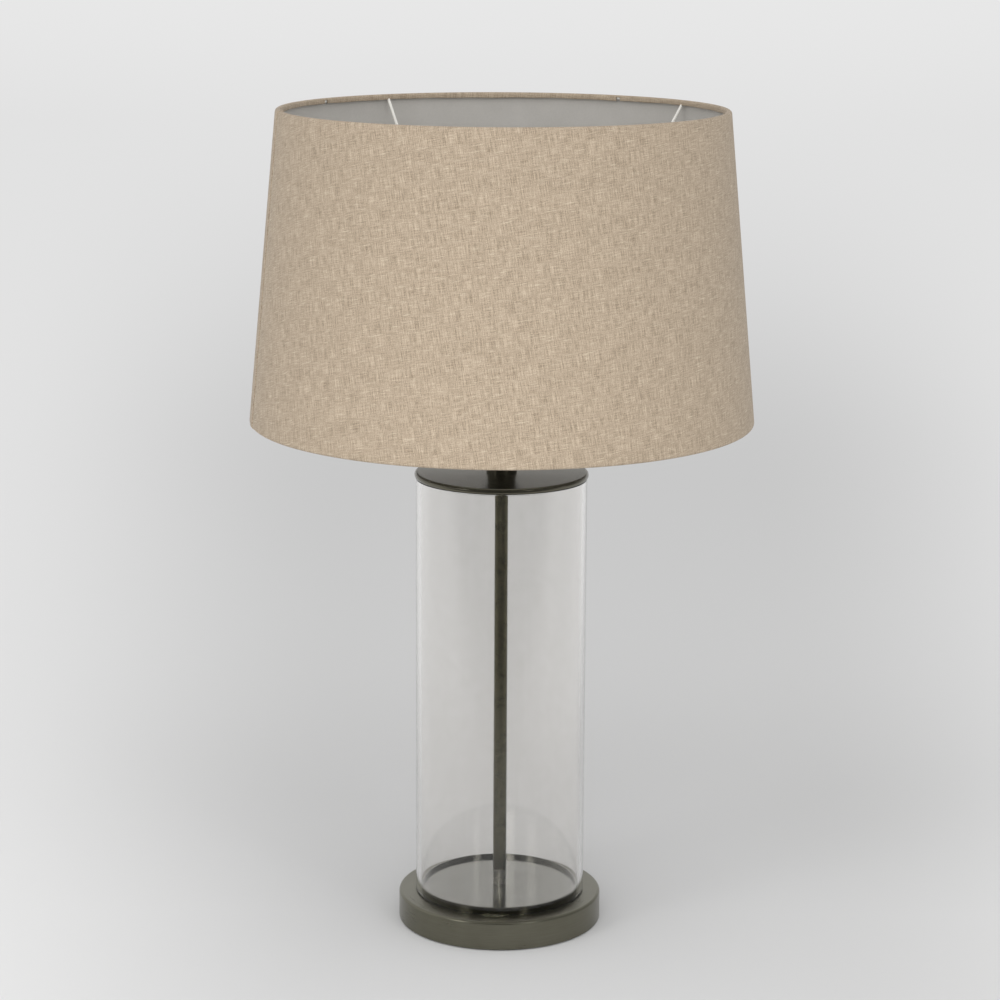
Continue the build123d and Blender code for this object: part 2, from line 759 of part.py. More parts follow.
with BuildPart() as bulb_glass:
    with BuildSketch(Plane.XZ):
        with BuildLine():
            outer_join = (join_r * bulb_radius, bulb_ball_z + join_z * bulb_radius)
            Line((bulb_neck_radius, bulb_glass_bottom_z), (bulb_neck_radius, bulb_neck_top_z))
            TangentArc((bulb_neck_radius, bulb_neck_top_z), outer_join, tangent=(0, 1))
            TangentArc((0, bulb_ball_z + bulb_radius), outer_join, tangent=(1, 0))
            inner_radius = bulb_radius - bulb_glass_wall
            inner_neck = bulb_neck_radius - bulb_glass_wall
            inner_join = (join_r * inner_radius, bulb_ball_z + join_z * inner_radius)
            Line((0, bulb_ball_z + bulb_radius), (0, bulb_ball_z + inner_radius))
            TangentArc((0, bulb_ball_z + inner_radius), inner_join, tangent=(1, 0))
            TangentArc((inner_neck, bulb_neck_top_z), inner_join, tangent=(0, 1))
            Line((inner_neck, bulb_neck_top_z), (inner_neck, bulb_glass_bottom_z))
            Line((inner_neck, bulb_glass_bottom_z), (bulb_neck_radius, bulb_glass_bottom_z))
        make_face()
    revolve(axis=Axis.Z)

bulb_glass.part.label = "bulb_glass"
export_step(bulb_glass.part, "parts/bulb_glass.step")

# ================================================================ shade
spoke_azimuth = 90.0 + spoke_first_angle
cut_slack = 1.0


def shade_point(z, depth):
    """Point of the shade's half section at height z, depth measured square to the linen."""
    return (shade_radius_at(z) - depth * slope_stretch, z)


# Linen: a slanted wall rolled inwards over the wires at both ends, open inside between the two rolls.
with BuildPart() as shade_cover:
    with BuildSketch(Plane.XZ):
        with BuildLine():
            Polyline(
                shade_point(shade_bottom_z, 0.0),
                shade_point(shade_top_z, 0.0),
                shade_point(shade_top_z, hem_width),
                shade_point(shade_bottom_z, hem_width),
                close=True,
            )
        make_face()
        fillet(vertices(), hem_corner)
        offset(amount=-linen_thickness, mode=Mode.SUBTRACT)
        with BuildLine():
            Polyline(
                shade_point(shade_bottom_z + hem_depth, hem_width / 2.0),
                shade_point(shade_top_z - hem_depth, hem_width / 2.0),
                shade_point(shade_top_z - hem_depth, hem_width + cut_slack),
                shade_point(shade_bottom_z + hem_depth, hem_width + cut_slack),
                close=True,
            )
        make_face(mode=Mode.SUBTRACT)
    revolve(axis=Axis.Z)
    notch_outer_r = shade_radius_at(shade_top_z) - hem_wire_inset * slope_stretch
    notch_inner_r = shade_radius_at(shade_top_z) - (hem_width + cut_slack) * slope_stretch
    with BuildSketch(Plane.XY.offset(shade_top_z - hem_depth - cut_slack)):
        with PolarLocations((notch_outer_r + notch_inner_r) / 2.0, spoke_count, start_angle=spoke_azimuth):
            Rectangle(notch_outer_r - notch_inner_r, notch_width)
    extrude(amount=notch_rise + cut_slack, mode=Mode.SUBTRACT)
    seam_turn = degrees(seam_width / shade_bottom_radius)
    seam_azimuth = 270.0 + seam_angle - seam_turn / 2.0
    with BuildSketch(Plane.XZ.rotated((0, 0, seam_azimuth))):
        with BuildLine():
            Polyline(
                shade_point(shade_bottom_z + hem_corner, linen_thickness / 2.0),
                shade_point(shade_top_z - hem_corner, linen_thickness / 2.0),
                shade_point(shade_top_z - hem_corner, -seam_step),
                shade_point(shade_bottom_z + hem_corner, -seam_step),
                close=True,
            )
        make_face()
    revolve(axis=Axis.Z, revolution_arc=seam_turn)

shade_cover.part.label = "shade_cover"
export_step(shade_cover.part, "parts/shade_cover.step")

lining_outer = linen_thickness + shade_layer_gap
lining_bottom_z = shade_bottom_z + lining_end_gap
lining_top_z = shade_top_z - lining_end_gap

with BuildPart() as shade_lining:
    with BuildSketch(Plane.XZ):
        with BuildLine():
            Polyline(
                shade_point(lining_bottom_z, lining_outer),
                shade_point(lining_top_z, lining_outer),
                shade_point(lining_top_z, lining_outer + lining_thickness),
                shade_point(lining_bottom_z, lining_outer + lining_thickness),
                close=True,
            )
        make_face()
    revolve(axis=Axis.Z)

shade_lining.part.label = "shade_lining"
export_step(shade_lining.part, "parts/shade_lining.step")

with BuildPart() as top_ring:
    with BuildSketch(Plane.XZ):
        with Locations((top_wire_ring, top_wire_z)):
            Circle(shade_wire_radius)
    revolve(axis=Axis.Z)

top_ring.part.label = "top_ring"
export_step(top_ring.part, "parts/top_ring.step")

with BuildPart() as bottom_ring:
    with BuildSketch(Plane.XZ):
        with Locations((bottom_wire_ring, bottom_wire_z)):
            Circle(shade_wire_radius)
    revolve(axis=Axis.Z)

bottom_ring.part.label = "bottom_ring"
export_step(bottom_ring.part, "parts/bottom_ring.step")

with BuildPart() as carrier_ring:
    with BuildSketch(Plane.XY.offset(carrier_bottom_z)):
        Circle(carrier_radius)
        Circle(carrier_bore, mode=Mode.SUBTRACT)
    extrude(amount=carrier_thickness)

carrier_ring.part.label = "carrier_ring"
export_step(carrier_ring.part, "parts/carrier_ring.step")

# Each spoke lies flat on the carrier, bends up and runs straight to the top ring.
spoke_foot_z = carrier_top_z + spoke_wire_radius + spoke_end_gap
spoke_foot_r = ring_radius + spoke_clearance
spoke_knee_r = spoke_foot_r + spoke_foot_length
spoke_reach = hypot(top_wire_ring - spoke_knee_r, top_wire_z - spoke_foot_z)
spoke_run = 1.0 - (shade_wire_radius + spoke_end_gap) / spoke_reach
spoke_end_r = spoke_knee_r + spoke_run * (top_wire_ring - spoke_knee_r)
spoke_end_z = spoke_foot_z + spoke_run * (top_wire_z - spoke_foot_z)

with BuildPart() as one_spoke:
    with BuildLine(Plane.XZ) as spoke_line:
        FilletPolyline(
            (spoke_foot_r, spoke_foot_z),
            (spoke_knee_r, spoke_foot_z),
            (spoke_end_r, spoke_end_z),
            radius=spoke_bend,
        )
    with BuildSketch(Plane.YZ.offset(spoke_foot_r)):
        with Locations((0, spoke_foot_z)):
            Circle(spoke_wire_radius)
    sweep()

with BuildPart() as shade_spokes:
    with PolarLocations(0, spoke_count, start_angle=spoke_azimuth):
        add(one_spoke.part)

shade_spokes.part.label = "shade_spokes"
export_step(shade_spokes.part, "parts/shade_spokes.step")

# ================================================================ shade ring
with BuildPart() as ring_washer:
    with BuildSketch(Plane.XY.offset(slip_washer_z)):
        Circle(slip_washer_radius)
        Circle(ring_bore, mode=Mode.SUBTRACT)
    extrude(amount=slip_washer_thickness)

ring_washer.part.label = "ring_washer"
export_step(ring_washer.part, "parts/ring_washer.step")

with BuildPart() as shade_ring:
    with BuildSketch(Plane.XY.offset(shade_ring_z)):
        Circle(ring_radius)
    extrude(amount=ring_height)
    fillet(shade_ring.edges().filter_by(GeomType.CIRCLE), ring_edge)
    with BuildSketch(Plane.XY.offset(shade_ring_z)):
        with PolarLocations(ring_radius + ring_grip_set_out, ring_grip_count):
            Circle(ring_grip_radius)
    extrude(amount=ring_height, mode=Mode.SUBTRACT)
    with BuildSketch(Plane.XY.offset(shade_ring_z)):
        Circle(ring_bore)
    extrude(amount=ring_height, mode=Mode.SUBTRACT)

shade_ring.part.label = "shade_ring"
export_step(shade_ring.part, "parts/shade_ring.step")

# ================================================================ wiring
# Terminal block under the ceiling of the pocket, its three bores running from front to back.
block_bottom = Plane.XY.offset(block_bottom_z)

with BuildPart() as terminal_block:
    with BuildSketch(block_bottom):
        with Locations((0, block_y)):
            Rectangle(block_width, block_depth)
    extrude(amount=block_height)
    with BuildSketch(block_bottom):
        with Locations((0, block_y)):
            with GridLocations(block_pitch, block_screw_pitch, way_count, 2):
                Circle(block_screw_radius + screw_hole_gap)
    extrude(amount=block_height - block_bore_drop, mode=Mode.SUBTRACT)
    with BuildSketch(block_bottom):
        with Locations((block_fixing_x, block_y)):
            Circle(block_screw_radius + screw_hole_gap)
    extrude(amount=block_height, mode=Mode.SUBTRACT)
    with BuildSketch(Plane.XZ.offset(-block_front_y)):
        with Locations((0, block_bore_z)):
            with GridLocations(block_pitch, block_screw_pitch, way_count, 1):
                Circle(block_bore_radius)
    extrude(amount=-block_depth, mode=Mode.SUBTRACT)

terminal_block.part.label = "terminal_block"
export_step(terminal_block.part, "parts/terminal_block.step")

with BuildPart() as terminal_screws:
    with BuildSketch(block_bottom):
        with Locations((0, block_y)):
            with GridLocations(block_pitch, block_screw_pitch, way_count, 2):
                Circle(block_screw_radius)
    extrude(amount=block_screw_length)
    with BuildSketch(block_bottom):
        with Locations((0, block_y)):
            with GridLocations(block_pitch, block_screw_pitch, way_count, 2):
                Rectangle(2.0 * block_screw_radius, screw_slot)
    extrude(amount=screw_slot, mode=Mode.SUBTRACT)

terminal_screws.part.label = "terminal_screws"
export_step(terminal_screws.part, "parts/terminal_screws.step")

with BuildPart() as block_screw:
    with BuildSketch(block_bottom):
        with Locations((block_fixing_x, block_y)):
            Circle(block_fixing_head_radius)
    extrude(amount=-block_fixing_head_height)
    with BuildSketch(block_bottom):
        with Locations((block_fixing_x, block_y)):
            Circle(block_screw_radius)
    extrude(amount=block_height + pocket_ceiling - fixing_tip_gap)
    with BuildSketch(block_bottom.offset(-block_fixing_head_height)):
        with Locations((block_fixing_x, block_y)):
            Rectangle(2.0 * block_fixing_head_radius, screw_slot)
    extrude(amount=screw_slot, mode=Mode.SUBTRACT)

block_screw.part.label = "block_screw"
export_step(block_screw.part, "parts/block_screw.step")

# Ring tag with a crimped barrel, screwed to the weight beside the rod.
tag_barrel_y = earth_y + tag_radius
tag_barrel_z = pocket_top_z - tag_barrel_drop

with BuildPart() as earth_tag:
    with BuildSketch(Plane.XY.offset(pocket_top_z - tag_thickness)):
        with Locations((earth_x, earth_y)):
            Circle(tag_radius)
        with Locations((earth_x, tag_barrel_y)):
            Rectangle(tag_neck_width, tag_barrel_length)
    extrude(amount=tag_thickness)
    with BuildSketch(Plane.XZ.offset(-tag_barrel_y)):
        with Locations((earth_x, tag_barrel_z)):
            Circle(tag_barrel_radius)
    extrude(amount=-tag_barrel_length)
    with BuildSketch(Plane.XZ.offset(-tag_barrel_y - tag_barrel_length)):
        with Locations((earth_x, tag_barrel_z)):
            Circle(core_radius + screw_hole_gap)
    extrude(amount=core_entry + post_bore_gap, mode=Mode.SUBTRACT)
    with BuildSketch(Plane.XY.offset(pocket_top_z - tag_thickness)):
        with Locations((earth_x, earth_y)):
            Circle(earth_screw_radius + screw_hole_gap)
    extrude(amount=tag_thickness, mode=Mode.SUBTRACT)

earth_tag.part.label = "earth_tag"
export_step(earth_tag.part, "parts/earth_tag.step")

with BuildPart() as earth_screw:
    with BuildSketch(Plane.XY.offset(pocket_top_z - tag_thickness)):
        with Locations((earth_x, earth_y)):
            Circle(earth_head_radius)
    extrude(amount=-earth_head_height)
    with BuildSketch(Plane.XY.offset(pocket_top_z - tag_thickness)):
        with Locations((earth_x, earth_y)):
            Circle(earth_screw_radius)
    extrude(amount=tag_thickness + pocket_ceiling - fixing_tip_gap)
    with BuildSketch(Plane.XY.offset(pocket_top_z - tag_thickness - earth_head_height)):
        with Locations((earth_x, earth_y)):
            Rectangle(2.0 * earth_head_radius, screw_slot)
    extrude(amount=screw_slot, mode=Mode.SUBTRACT)

earth_screw.part.label = "earth_screw"
export_step(earth_screw.part, "parts/earth_screw.step")

# The leads run whole from the block, under the rod and up through it, to the lampholder's terminals.
core_end_y = block_front_y + core_entry
core_top_z = post_bottom_z + core_entry
rod_exit_z = rod_top_z + core_rise
post_entry_z = post_bottom_z - core_rise

with BuildPart() as live_core:
    with BuildLine() as live_path:
        FilletPolyline(
            (0, core_end_y, block_bore_z),
            (0, core_climb_y, block_bore_z),
            (live_run_x, core_run_y, core_run_z),
            (-core_offset_x, 0, core_run_z),
            (-core_offset_x, 0, rod_exit_z),
            (-post_x, 0, post_entry_z),
            (-post_x, 0, core_top_z),
            radius=core_bend,
        )
    with BuildSketch(Plane.XZ.offset(-core_end_y)):
        with Locations((0, block_bore_z)):
            Circle(core_radius)
    sweep()

live_core.part.label = "live_core"
export_step(live_core.part, "parts/live_core.step")

with BuildPart() as neutral_core:
    with BuildLine() as neutral_path:
        FilletPolyline(
            (block_pitch, core_end_y, block_bore_z),
            (block_pitch, core_climb_y, block_bore_z),
            (neutral_run_x, core_run_y, core_run_z),
            (core_offset_x, 0, core_run_z),
            (core_offset_x, 0, rod_exit_z),
            (post_x, 0, post_entry_z),
            (post_x, 0, core_top_z),
            radius=core_bend,
        )
    with BuildSketch(Plane.XZ.offset(-core_end_y)):
        with Locations((block_pitch, block_bore_z)):
            Circle(core_radius)
    sweep()

neutral_core.part.label = "neutral_core"
export_step(neutral_core.part, "parts/neutral_core.step")

tag_core_end_y = tag_barrel_y + tag_barrel_length - core_entry

with BuildPart() as earth_core:
    with BuildLine() as earth_path:
        FilletPolyline(
            (-block_pitch, core_end_y, block_bore_z),
            (-block_pitch, block_front_y - earth_climb_start, block_bore_z),
            (earth_x, tag_barrel_y + tag_barrel_length + earth_climb_end, tag_barrel_z),
            (earth_x, tag_core_end_y, tag_barrel_z),
            radius=core_bend,
        )
    with BuildSketch(Plane.XZ.offset(-core_end_y)):
        with Locations((-block_pitch, block_bore_z)):
            Circle(core_radius)
    sweep()

earth_core.part.label = "earth_core"
export_step(earth_core.part, "parts/earth_core.step")

for name, piece, path in (
    ("live", live_core, live_path),
    ("neutral", neutral_core, neutral_path),
    ("earth", earth_core, earth_path),
):
    route_length = sum(edge.length for edge in path.edges())
    swept = pi * core_radius ** 2 * route_length
    print(name, "core: bend radius", core_bend, "length", round(route_length, 1),
          "volume over section times length", round(piece.part.volume / swept, 4))
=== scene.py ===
"""Table lamp: a clear glass column on a dark bronze base, under a tapered linen drum shade.

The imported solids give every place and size. This script dresses them, makes the pieces whose surface the
solids only block out (the linen with its side seam, the glass tube, the lampholder's thread), and sets the
camera, the floor and the studio light. Lengths are metres, +Z is up, and the camera stands towards -Y.
"""
from __future__ import annotations

import json
import logging
import math
from dataclasses import dataclass
from enum import Enum

import bmesh
import bpy
from mathutils import Matrix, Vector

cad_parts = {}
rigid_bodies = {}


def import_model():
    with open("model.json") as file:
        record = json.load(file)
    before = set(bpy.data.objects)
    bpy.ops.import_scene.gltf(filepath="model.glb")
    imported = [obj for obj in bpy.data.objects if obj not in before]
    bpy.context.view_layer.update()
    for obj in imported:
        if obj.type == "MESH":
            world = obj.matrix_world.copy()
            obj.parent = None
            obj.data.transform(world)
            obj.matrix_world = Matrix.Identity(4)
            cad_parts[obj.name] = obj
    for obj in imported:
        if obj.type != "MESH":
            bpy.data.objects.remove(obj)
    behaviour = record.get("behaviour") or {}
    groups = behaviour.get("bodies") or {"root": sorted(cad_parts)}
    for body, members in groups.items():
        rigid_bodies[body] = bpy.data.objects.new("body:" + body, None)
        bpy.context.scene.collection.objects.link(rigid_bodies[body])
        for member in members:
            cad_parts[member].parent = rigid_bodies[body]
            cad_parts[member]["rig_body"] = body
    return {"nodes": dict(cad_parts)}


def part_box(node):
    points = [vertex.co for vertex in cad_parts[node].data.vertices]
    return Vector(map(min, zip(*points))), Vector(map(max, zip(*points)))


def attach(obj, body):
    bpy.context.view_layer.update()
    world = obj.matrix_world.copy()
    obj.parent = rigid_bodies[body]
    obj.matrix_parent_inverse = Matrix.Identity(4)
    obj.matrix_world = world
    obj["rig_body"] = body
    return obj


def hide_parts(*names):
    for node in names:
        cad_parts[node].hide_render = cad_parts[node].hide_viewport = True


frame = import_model()

LOG = logging.getLogger("lamp")
MM = 0.001
CLOTH_MAP = "FlatCut"

# The span that most of a noise texture's values lie in.
NOISE_SPAN = (0.3, 0.7)
# A turned mark is as long as its radius times grain_run over this.
RING_MARKS = 60.0
# Drawn marks lie grain_mm apart on a circle of this radius, and closer together on a smaller tube.
DRAWN_RADIUS = 600 * MM
# The share of a turn that draws reflections out across the rings.
QUARTER_TURN = 0.25
# Weighted normals at this weight follow the large faces.
FULL_WEIGHT = 100

Tree = bpy.types.NodeTree
Node = bpy.types.Node
Socket = bpy.types.NodeSocket
Material = bpy.types.Material
Piece = bpy.types.Object


# ---------------------------------------------------------------------------------------------- helpers
def linear(code: str) -> tuple[float, float, float, float]:
    """Turns an sRGB hex colour into linear light.

    Args:
        code: Six hex digits after a hash.

    Returns:
        Red, green, blue and alpha, each from 0 to 1.
    """
    channels = [int(code[i:i + 2], 16) / 255.0 for i in (1, 3, 5)]
    light = [c / 12.92 if c <= 0.04045 else ((c + 0.055) / 1.055) ** 2.4 for c in channels]
    return (light[0], light[1], light[2], 1.0)


def add_node(tree: Tree, kind: str, inputs: dict | None = None, **settings: object) -> Node:
    """Adds a node, gives it its settings, and fills or links its inputs.

    Args:
        tree: The node tree that it goes into.
        kind: Blender's name for the node's type.
        inputs: For a socket's name or number, either a value or another node's output.
        settings: The node's own properties.

    Returns:
        The new node.
    """
    node = tree.nodes.new(kind)
    for name, value in settings.items():
        setattr(node, name, value)
    for key, value in (inputs or {}).items():
        if isinstance(value, Socket):
            tree.links.new(value, node.inputs[key])
        else:
            node.inputs[key].default_value = value
    return node


def calc(tree: Tree, operation: str, *values: object) -> Socket:
    """Adds a Math node that works on the values, and returns its result."""
    return add_node(tree, "ShaderNodeMath", dict(enumerate(values)), operation=operation).outputs[0]


def between(tree: Tree, share: object, first: Socket, second: Socket) -> Socket:
    """Adds a Mix node for two numbers, and returns what lies between them at the share."""
    return add_node(tree, "ShaderNodeMix", {0: share, 2: first, 3: second}).outputs[0]


def blend(tree: Tree, share: Socket, under: object, over: object, **settings: object) -> Socket:
    """Mixes two colours.

    Args:
        tree: The node tree.
        share: From 0, all under, to 1, all over.
        under: The first colour.
        over: The second colour.
        settings: The mix node's own properties.

    Returns:
        The mixed colour.
    """
    inputs = {0: share, 6: under, 7: over}
    return add_node(tree, "ShaderNodeMix", inputs, data_type="RGBA", **settings).outputs[2]


def remap(tree: Tree, value: Socket, low: float = 0.0, high: float = 1.0, start: float = 0.0,
          end: float = 1.0, smooth: bool = False) -> Socket:
    """Carries a value from one span to another, and holds it at the ends.

    Args:
        tree: The node tree.
        value: The value.
        low: Where the first span starts.
        high: Where it ends.
        start: What the low end becomes.
        end: What the high end becomes.
        smooth: Whether it eases in and out.

    Returns:
        The carried value.
    """
    spans = {"Value": value, "From Min": low, "From Max": high, "To Min": start, "To Max": end}
    return add_node(tree, "ShaderNodeMapRange", spans,
                    interpolation_type="SMOOTHSTEP" if smooth else "LINEAR").outputs[0]


def off_axis(tree: Tree) -> tuple[Socket, Socket, Socket]:
    """Measures a point from the lamp's axis, on Object coordinates.

    Args:
        tree: The material's node tree.

    Returns:
        The level vector out to the point, its length, and the point's height.
    """
    place = add_node(tree, "ShaderNodeTexCoord").outputs["Object"]
    parts = add_node(tree, "ShaderNodeSeparateXYZ", {0: place}).outputs
    level = add_node(tree, "ShaderNodeCombineXYZ", {0: parts[0], 1: parts[1]}).outputs[0]
    reach = add_node(tree, "ShaderNodeVectorMath", {0: level}, operation="LENGTH").outputs["Value"]
    return level, reach, parts[2]


def overlay(tree: Tree, shader: Node, share: Socket, tint: str) -> None:
    """Lays a tint over the shader's colour, where the share is 1."""
    colour = shader.inputs["Base Color"]
    tree.links.new(blend(tree, share, colour.links[0].from_socket, linear(tint)), colour)


def bare_tree(owner: Material | bpy.types.World) -> Tree:
    """Turns on the nodes of a material or a world and empties its tree.

    Args:
        owner: The material or world.

    Returns:
        Its node tree.
    """
    owner.use_nodes = True
    owner.node_tree.nodes.clear()
    return owner.node_tree


def add_object(name: str, mesh: bpy.types.Mesh) -> Piece:
    """Links a mesh into the scene as an object at the origin.

    Args:
        name: The object's name.
        mesh: Its mesh.

    Returns:
        The object.
    """
    made = bpy.data.objects.new(name, mesh)
    bpy.context.scene.collection.objects.link(made)
    return made


def report(piece: Piece) -> None:
    """Logs a piece, its faces and the body that it rides on."""
    body = piece.get("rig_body", "nothing")
    LOG.info("%s: %d faces, rides on %s", piece.name, len(piece.data.polygons), body)


# --------------------------------------------------------------------------------------------- finishes
class Grain(Enum):
    """Which way the fine marks of a finish run."""

    EVEN = "even"
    RINGS = "rings"
    UPRIGHT = "upright"


@dataclass(frozen=True)
class Finish:
    """What the finishes share: two close tints, a fine grain and a slow mottle, all on Object coordinates.

    grain_mm is the spacing of the fine marks and grain_run how far they are drawn out, mottle_mm the width of
    the slow patches, mottle_share how much they count against the marks, and relief_mm the marks' height.
    """

    slot: str
    dark: str
    light: str
    metallic: float = 0.0
    roughness: tuple[float, float] = (0.4, 0.5)
    grain: Grain = Grain.EVEN
    grain_mm: float = 0.5
    grain_run: float = 1.0
    mottle_mm: float = 12.0
    mottle_share: float = 0.5
    relief_mm: float = 0.01
    specular: float = 0.5
    sheen: float = 0.0
    coat: float = 0.0

    def grain_height(self, tree: Tree) -> Socket:
        """Builds the fine marks.

        Turned marks lie grain_mm apart outward and upward, and run round the axis. Drawn marks run upward for
        grain_run times grain_mm.

        Args:
            tree: The material's node tree.

        Returns:
            The output that runs from 0 to 1 across the marks.
        """
        fine = 1.0 / (self.grain_mm * MM)
        if self.grain is Grain.EVEN:
            place = add_node(tree, "ShaderNodeTexCoord").outputs["Object"]
            return add_node(tree, "ShaderNodeTexNoise", {
                "Vector": place, "Scale": fine, "Detail": 3.0}).outputs["Fac"]
        if self.grain is Grain.RINGS:
            along, across = RING_MARKS / self.grain_run, fine
        else:
            along, across = DRAWN_RADIUS * fine, fine / self.grain_run
        level, reach, height = off_axis(tree)
        around = add_node(tree, "ShaderNodeVectorMath", {0: level}, operation="NORMALIZE").outputs[0]
        ring = add_node(tree, "ShaderNodeVectorMath", {0: around, 3: along}, operation="SCALE").outputs[0]
        lift = add_node(tree, "ShaderNodeCombineXYZ", {2: calc(tree, "MULTIPLY", reach, across)}).outputs[0]
        spot = add_node(tree, "ShaderNodeVectorMath", {0: ring, 1: lift}, operation="ADD").outputs[0]
        return add_node(tree, "ShaderNodeTexNoise", {
            "Vector": spot, "W": calc(tree, "MULTIPLY", height, across), "Scale": 1.0, "Detail": 2.0},
            noise_dimensions="4D").outputs["Fac"]

    def extras(self, tree: Tree) -> dict[str, object]:
        """Gives the shader's inputs that only some finishes set."""
        return {}

    def link(self, tree: Tree, shader: Node, tint: Socket, gloss: Socket, height: Socket) -> None:
        """Links the colour, the roughness and the relief to the shader.

        Args:
            tree: The material's node tree.
            shader: Its Principled shader.
            tint: The colour.
            gloss: The roughness.
            height: The height of the relief, from 0 to 1.
        """
        relief = add_node(tree, "ShaderNodeBump", {
            "Strength": 1.0, "Distance": self.relief_mm * MM, "Height": height}).outputs[0]
        for name, output in (("Base Color", tint), ("Roughness", gloss), ("Normal", relief)):
            tree.links.new(output, shader.inputs[name])

    def paint(self, tree: Tree, shader: Node) -> None:
        """Sets the shader's colour, gloss and relief.

        Args:
            tree: The material's node tree.
            shader: Its Principled shader.
        """
        marks = self.grain_height(tree)
        place = add_node(tree, "ShaderNodeTexCoord").outputs["Object"]
        patches = add_node(tree, "ShaderNodeTexNoise", {
            "Vector": place, "Scale": 1.0 / (self.mottle_mm * MM), "Detail": 2.0}).outputs["Fac"]
        share = remap(tree, between(tree, self.mottle_share, marks, patches), *NOISE_SPAN)
        tint = blend(tree, share, linear(self.dark), linear(self.light))
        gloss = remap(tree, share, start=self.roughness[0], end=self.roughness[1])
        self.link(tree, shader, tint, gloss, marks)

    def material(self) -> Material:
        """Builds the node material.

        Returns:
            The material, named for its slot.
        """
        made = bpy.data.materials.new(self.slot)
        tree = bare_tree(made)
        shader = add_node(tree, "ShaderNodeBsdfPrincipled", {
            "Metallic": self.metallic, "Specular IOR Level": self.specular, "Sheen Weight": self.sheen,
            "Coat Weight": self.coat, **self.extras(tree)})
        add_node(tree, "ShaderNodeOutputMaterial", {"Surface": shader.outputs["BSDF"]})
        self.paint(tree, shader)
        return made


@dataclass(frozen=True)
class TurnedBronze(Finish):
    """Bronze plate on spun steel, brushed while it turned.

    The eye gets an olive-brown metal whose reflections are drawn out across the fine rings: bands that run
    up a side wall, and a bow tie of light on a flat top. Real brush marks are under 0.1 mm; they are drawn
    0.6 mm apart so that they show. stretch is how far the light is drawn out.
    """

    metallic: float = 1.0
    grain: Grain = Grain.RINGS
    grain_mm: float = 0.6
    grain_run: float = 12.0
    mottle_mm: float = 30.0
    relief_mm: float = 0.002
    stretch: float = 0.8

    def extras(self, tree: Tree) -> dict[str, object]:
        """Turns the reflections square to the rings."""
        around = add_node(tree, "ShaderNodeTangent", direction_type="RADIAL", axis="Z").outputs[0]
        return {"Anisotropic": self.stretch, "Anisotropic Rotation": QUARTER_TURN, "Tangent": around}


@dataclass(frozen=True)
class ShadedWallTray(TurnedBronze):
    """The tray's metal: bright on its top, and its wall, beyond wall_radius, darkened by painted shade where
    it stands close inside the glass.
    """

    painted_wall_shade: str = "#4a483a"
    wall_radius: float = 71.3 * MM

    def paint(self, tree: Tree, shader: Node) -> None:
        """Paints shade over the wall.

        Args:
            tree: The material's node tree.
            shader: Its Principled shader.
        """
        super().paint(tree, shader)
        reach = off_axis(tree)[1]
        # Painted shade: the wall beyond wall_radius, in the narrow gap inside the glass, takes the darker
        # tint.
        overlay(tree, shader, calc(tree, "GREATER_THAN", reach, self.wall_radius), self.painted_wall_shade)


@dataclass(frozen=True)
class DrawnBronze(Finish):
    """Bronze plate on drawn tube: slow patches of tone up the stem, and draw marks far finer than the eye
    parts, which run up it.
    """

    metallic: float = 1.0
    grain: Grain = Grain.UPRIGHT
    grain_mm: float = 0.8
    grain_run: float = 60.0
    relief_mm: float = 0.004


@dataclass(frozen=True)
class BareMetal(Finish):
    """Plated or bare small metalwork: even gloss with fine rolling marks and faint tarnish."""

    metallic: float = 1.0
    roughness: tuple[float, float] = (0.24, 0.4)
    mottle_mm: float = 4.0
    relief_mm: float = 0.006


@dataclass(frozen=True)
class CastIron(Finish):
    """Sand-cast iron under a thin black dip: dull, with the sand's grit, about 1 mm, still in the skin."""

    roughness: tuple[float, float] = (0.62, 0.85)
    grain_mm: float = 1.0
    relief_mm: float = 0.18
    specular: float = 0.4


@dataclass(frozen=True)
class WoolFelt(Finish):
    """Pressed wool felt: no gloss, a soft edge to the light, and short matted fibres about 0.7 mm apart."""

    roughness: tuple[float, float] = (0.9, 1.0)
    grain_mm: float = 0.7
    mottle_mm: float = 9.0
    relief_mm: float = 0.25
    specular: float = 0.1
    sheen: float = 0.25


@dataclass(frozen=True)
class MouldedPlastic(Finish):
    """Moulded plastic: a satin skin with the mould's fine spark texture, about 0.4 mm."""

    roughness: tuple[float, float] = (0.36, 0.5)
    grain_mm: float = 0.4
    relief_mm: float = 0.012


@dataclass(frozen=True)
class GlazedCeramic(Finish):
    """Glazed steatite: off-white with a wet gloss that lies in slow waves over the pressed body."""

    roughness: tuple[float, float] = (0.16, 0.26)
    grain_mm: float = 3.0
    relief_mm: float = 0.03
    coat: float = 0.4


@dataclass(frozen=True)
class PowderCoat(Finish):
    """White powder coat on wire: satin, with orange peel about 0.8 mm across."""

    roughness: tuple[float, float] = (0.38, 0.5)
    grain_mm: float = 0.8
    relief_mm: float = 0.02


@dataclass(frozen=True)
class LiningFilm(Finish):
    """Styrene film glued to the cloth: matt white, with the weave just telegraphing through it."""

    roughness: tuple[float, float] = (0.55, 0.7)
    grain_mm: float = 1.6
    mottle_mm: float = 25.0
    relief_mm: float = 0.03
    specular: float = 0.3


@dataclass(frozen=True)
class OpalGlass(Finish):
    """Frosted bulb glass, off: a milky skin with a soft broad highlight and a faintly uneven frosting."""

    roughness: tuple[float, float] = (0.28, 0.38)
    grain_mm: float = 0.6
    mottle_mm: float = 14.0
    relief_mm: float = 0.004
    milkiness: float = 0.35
    depth_mm: float = 3.0

    def extras(self, tree: Tree) -> dict[str, object]:
        """Spreads light inside the frosting."""
        return {"Subsurface Weight": self.milkiness, "Subsurface Scale": self.depth_mm * MM}


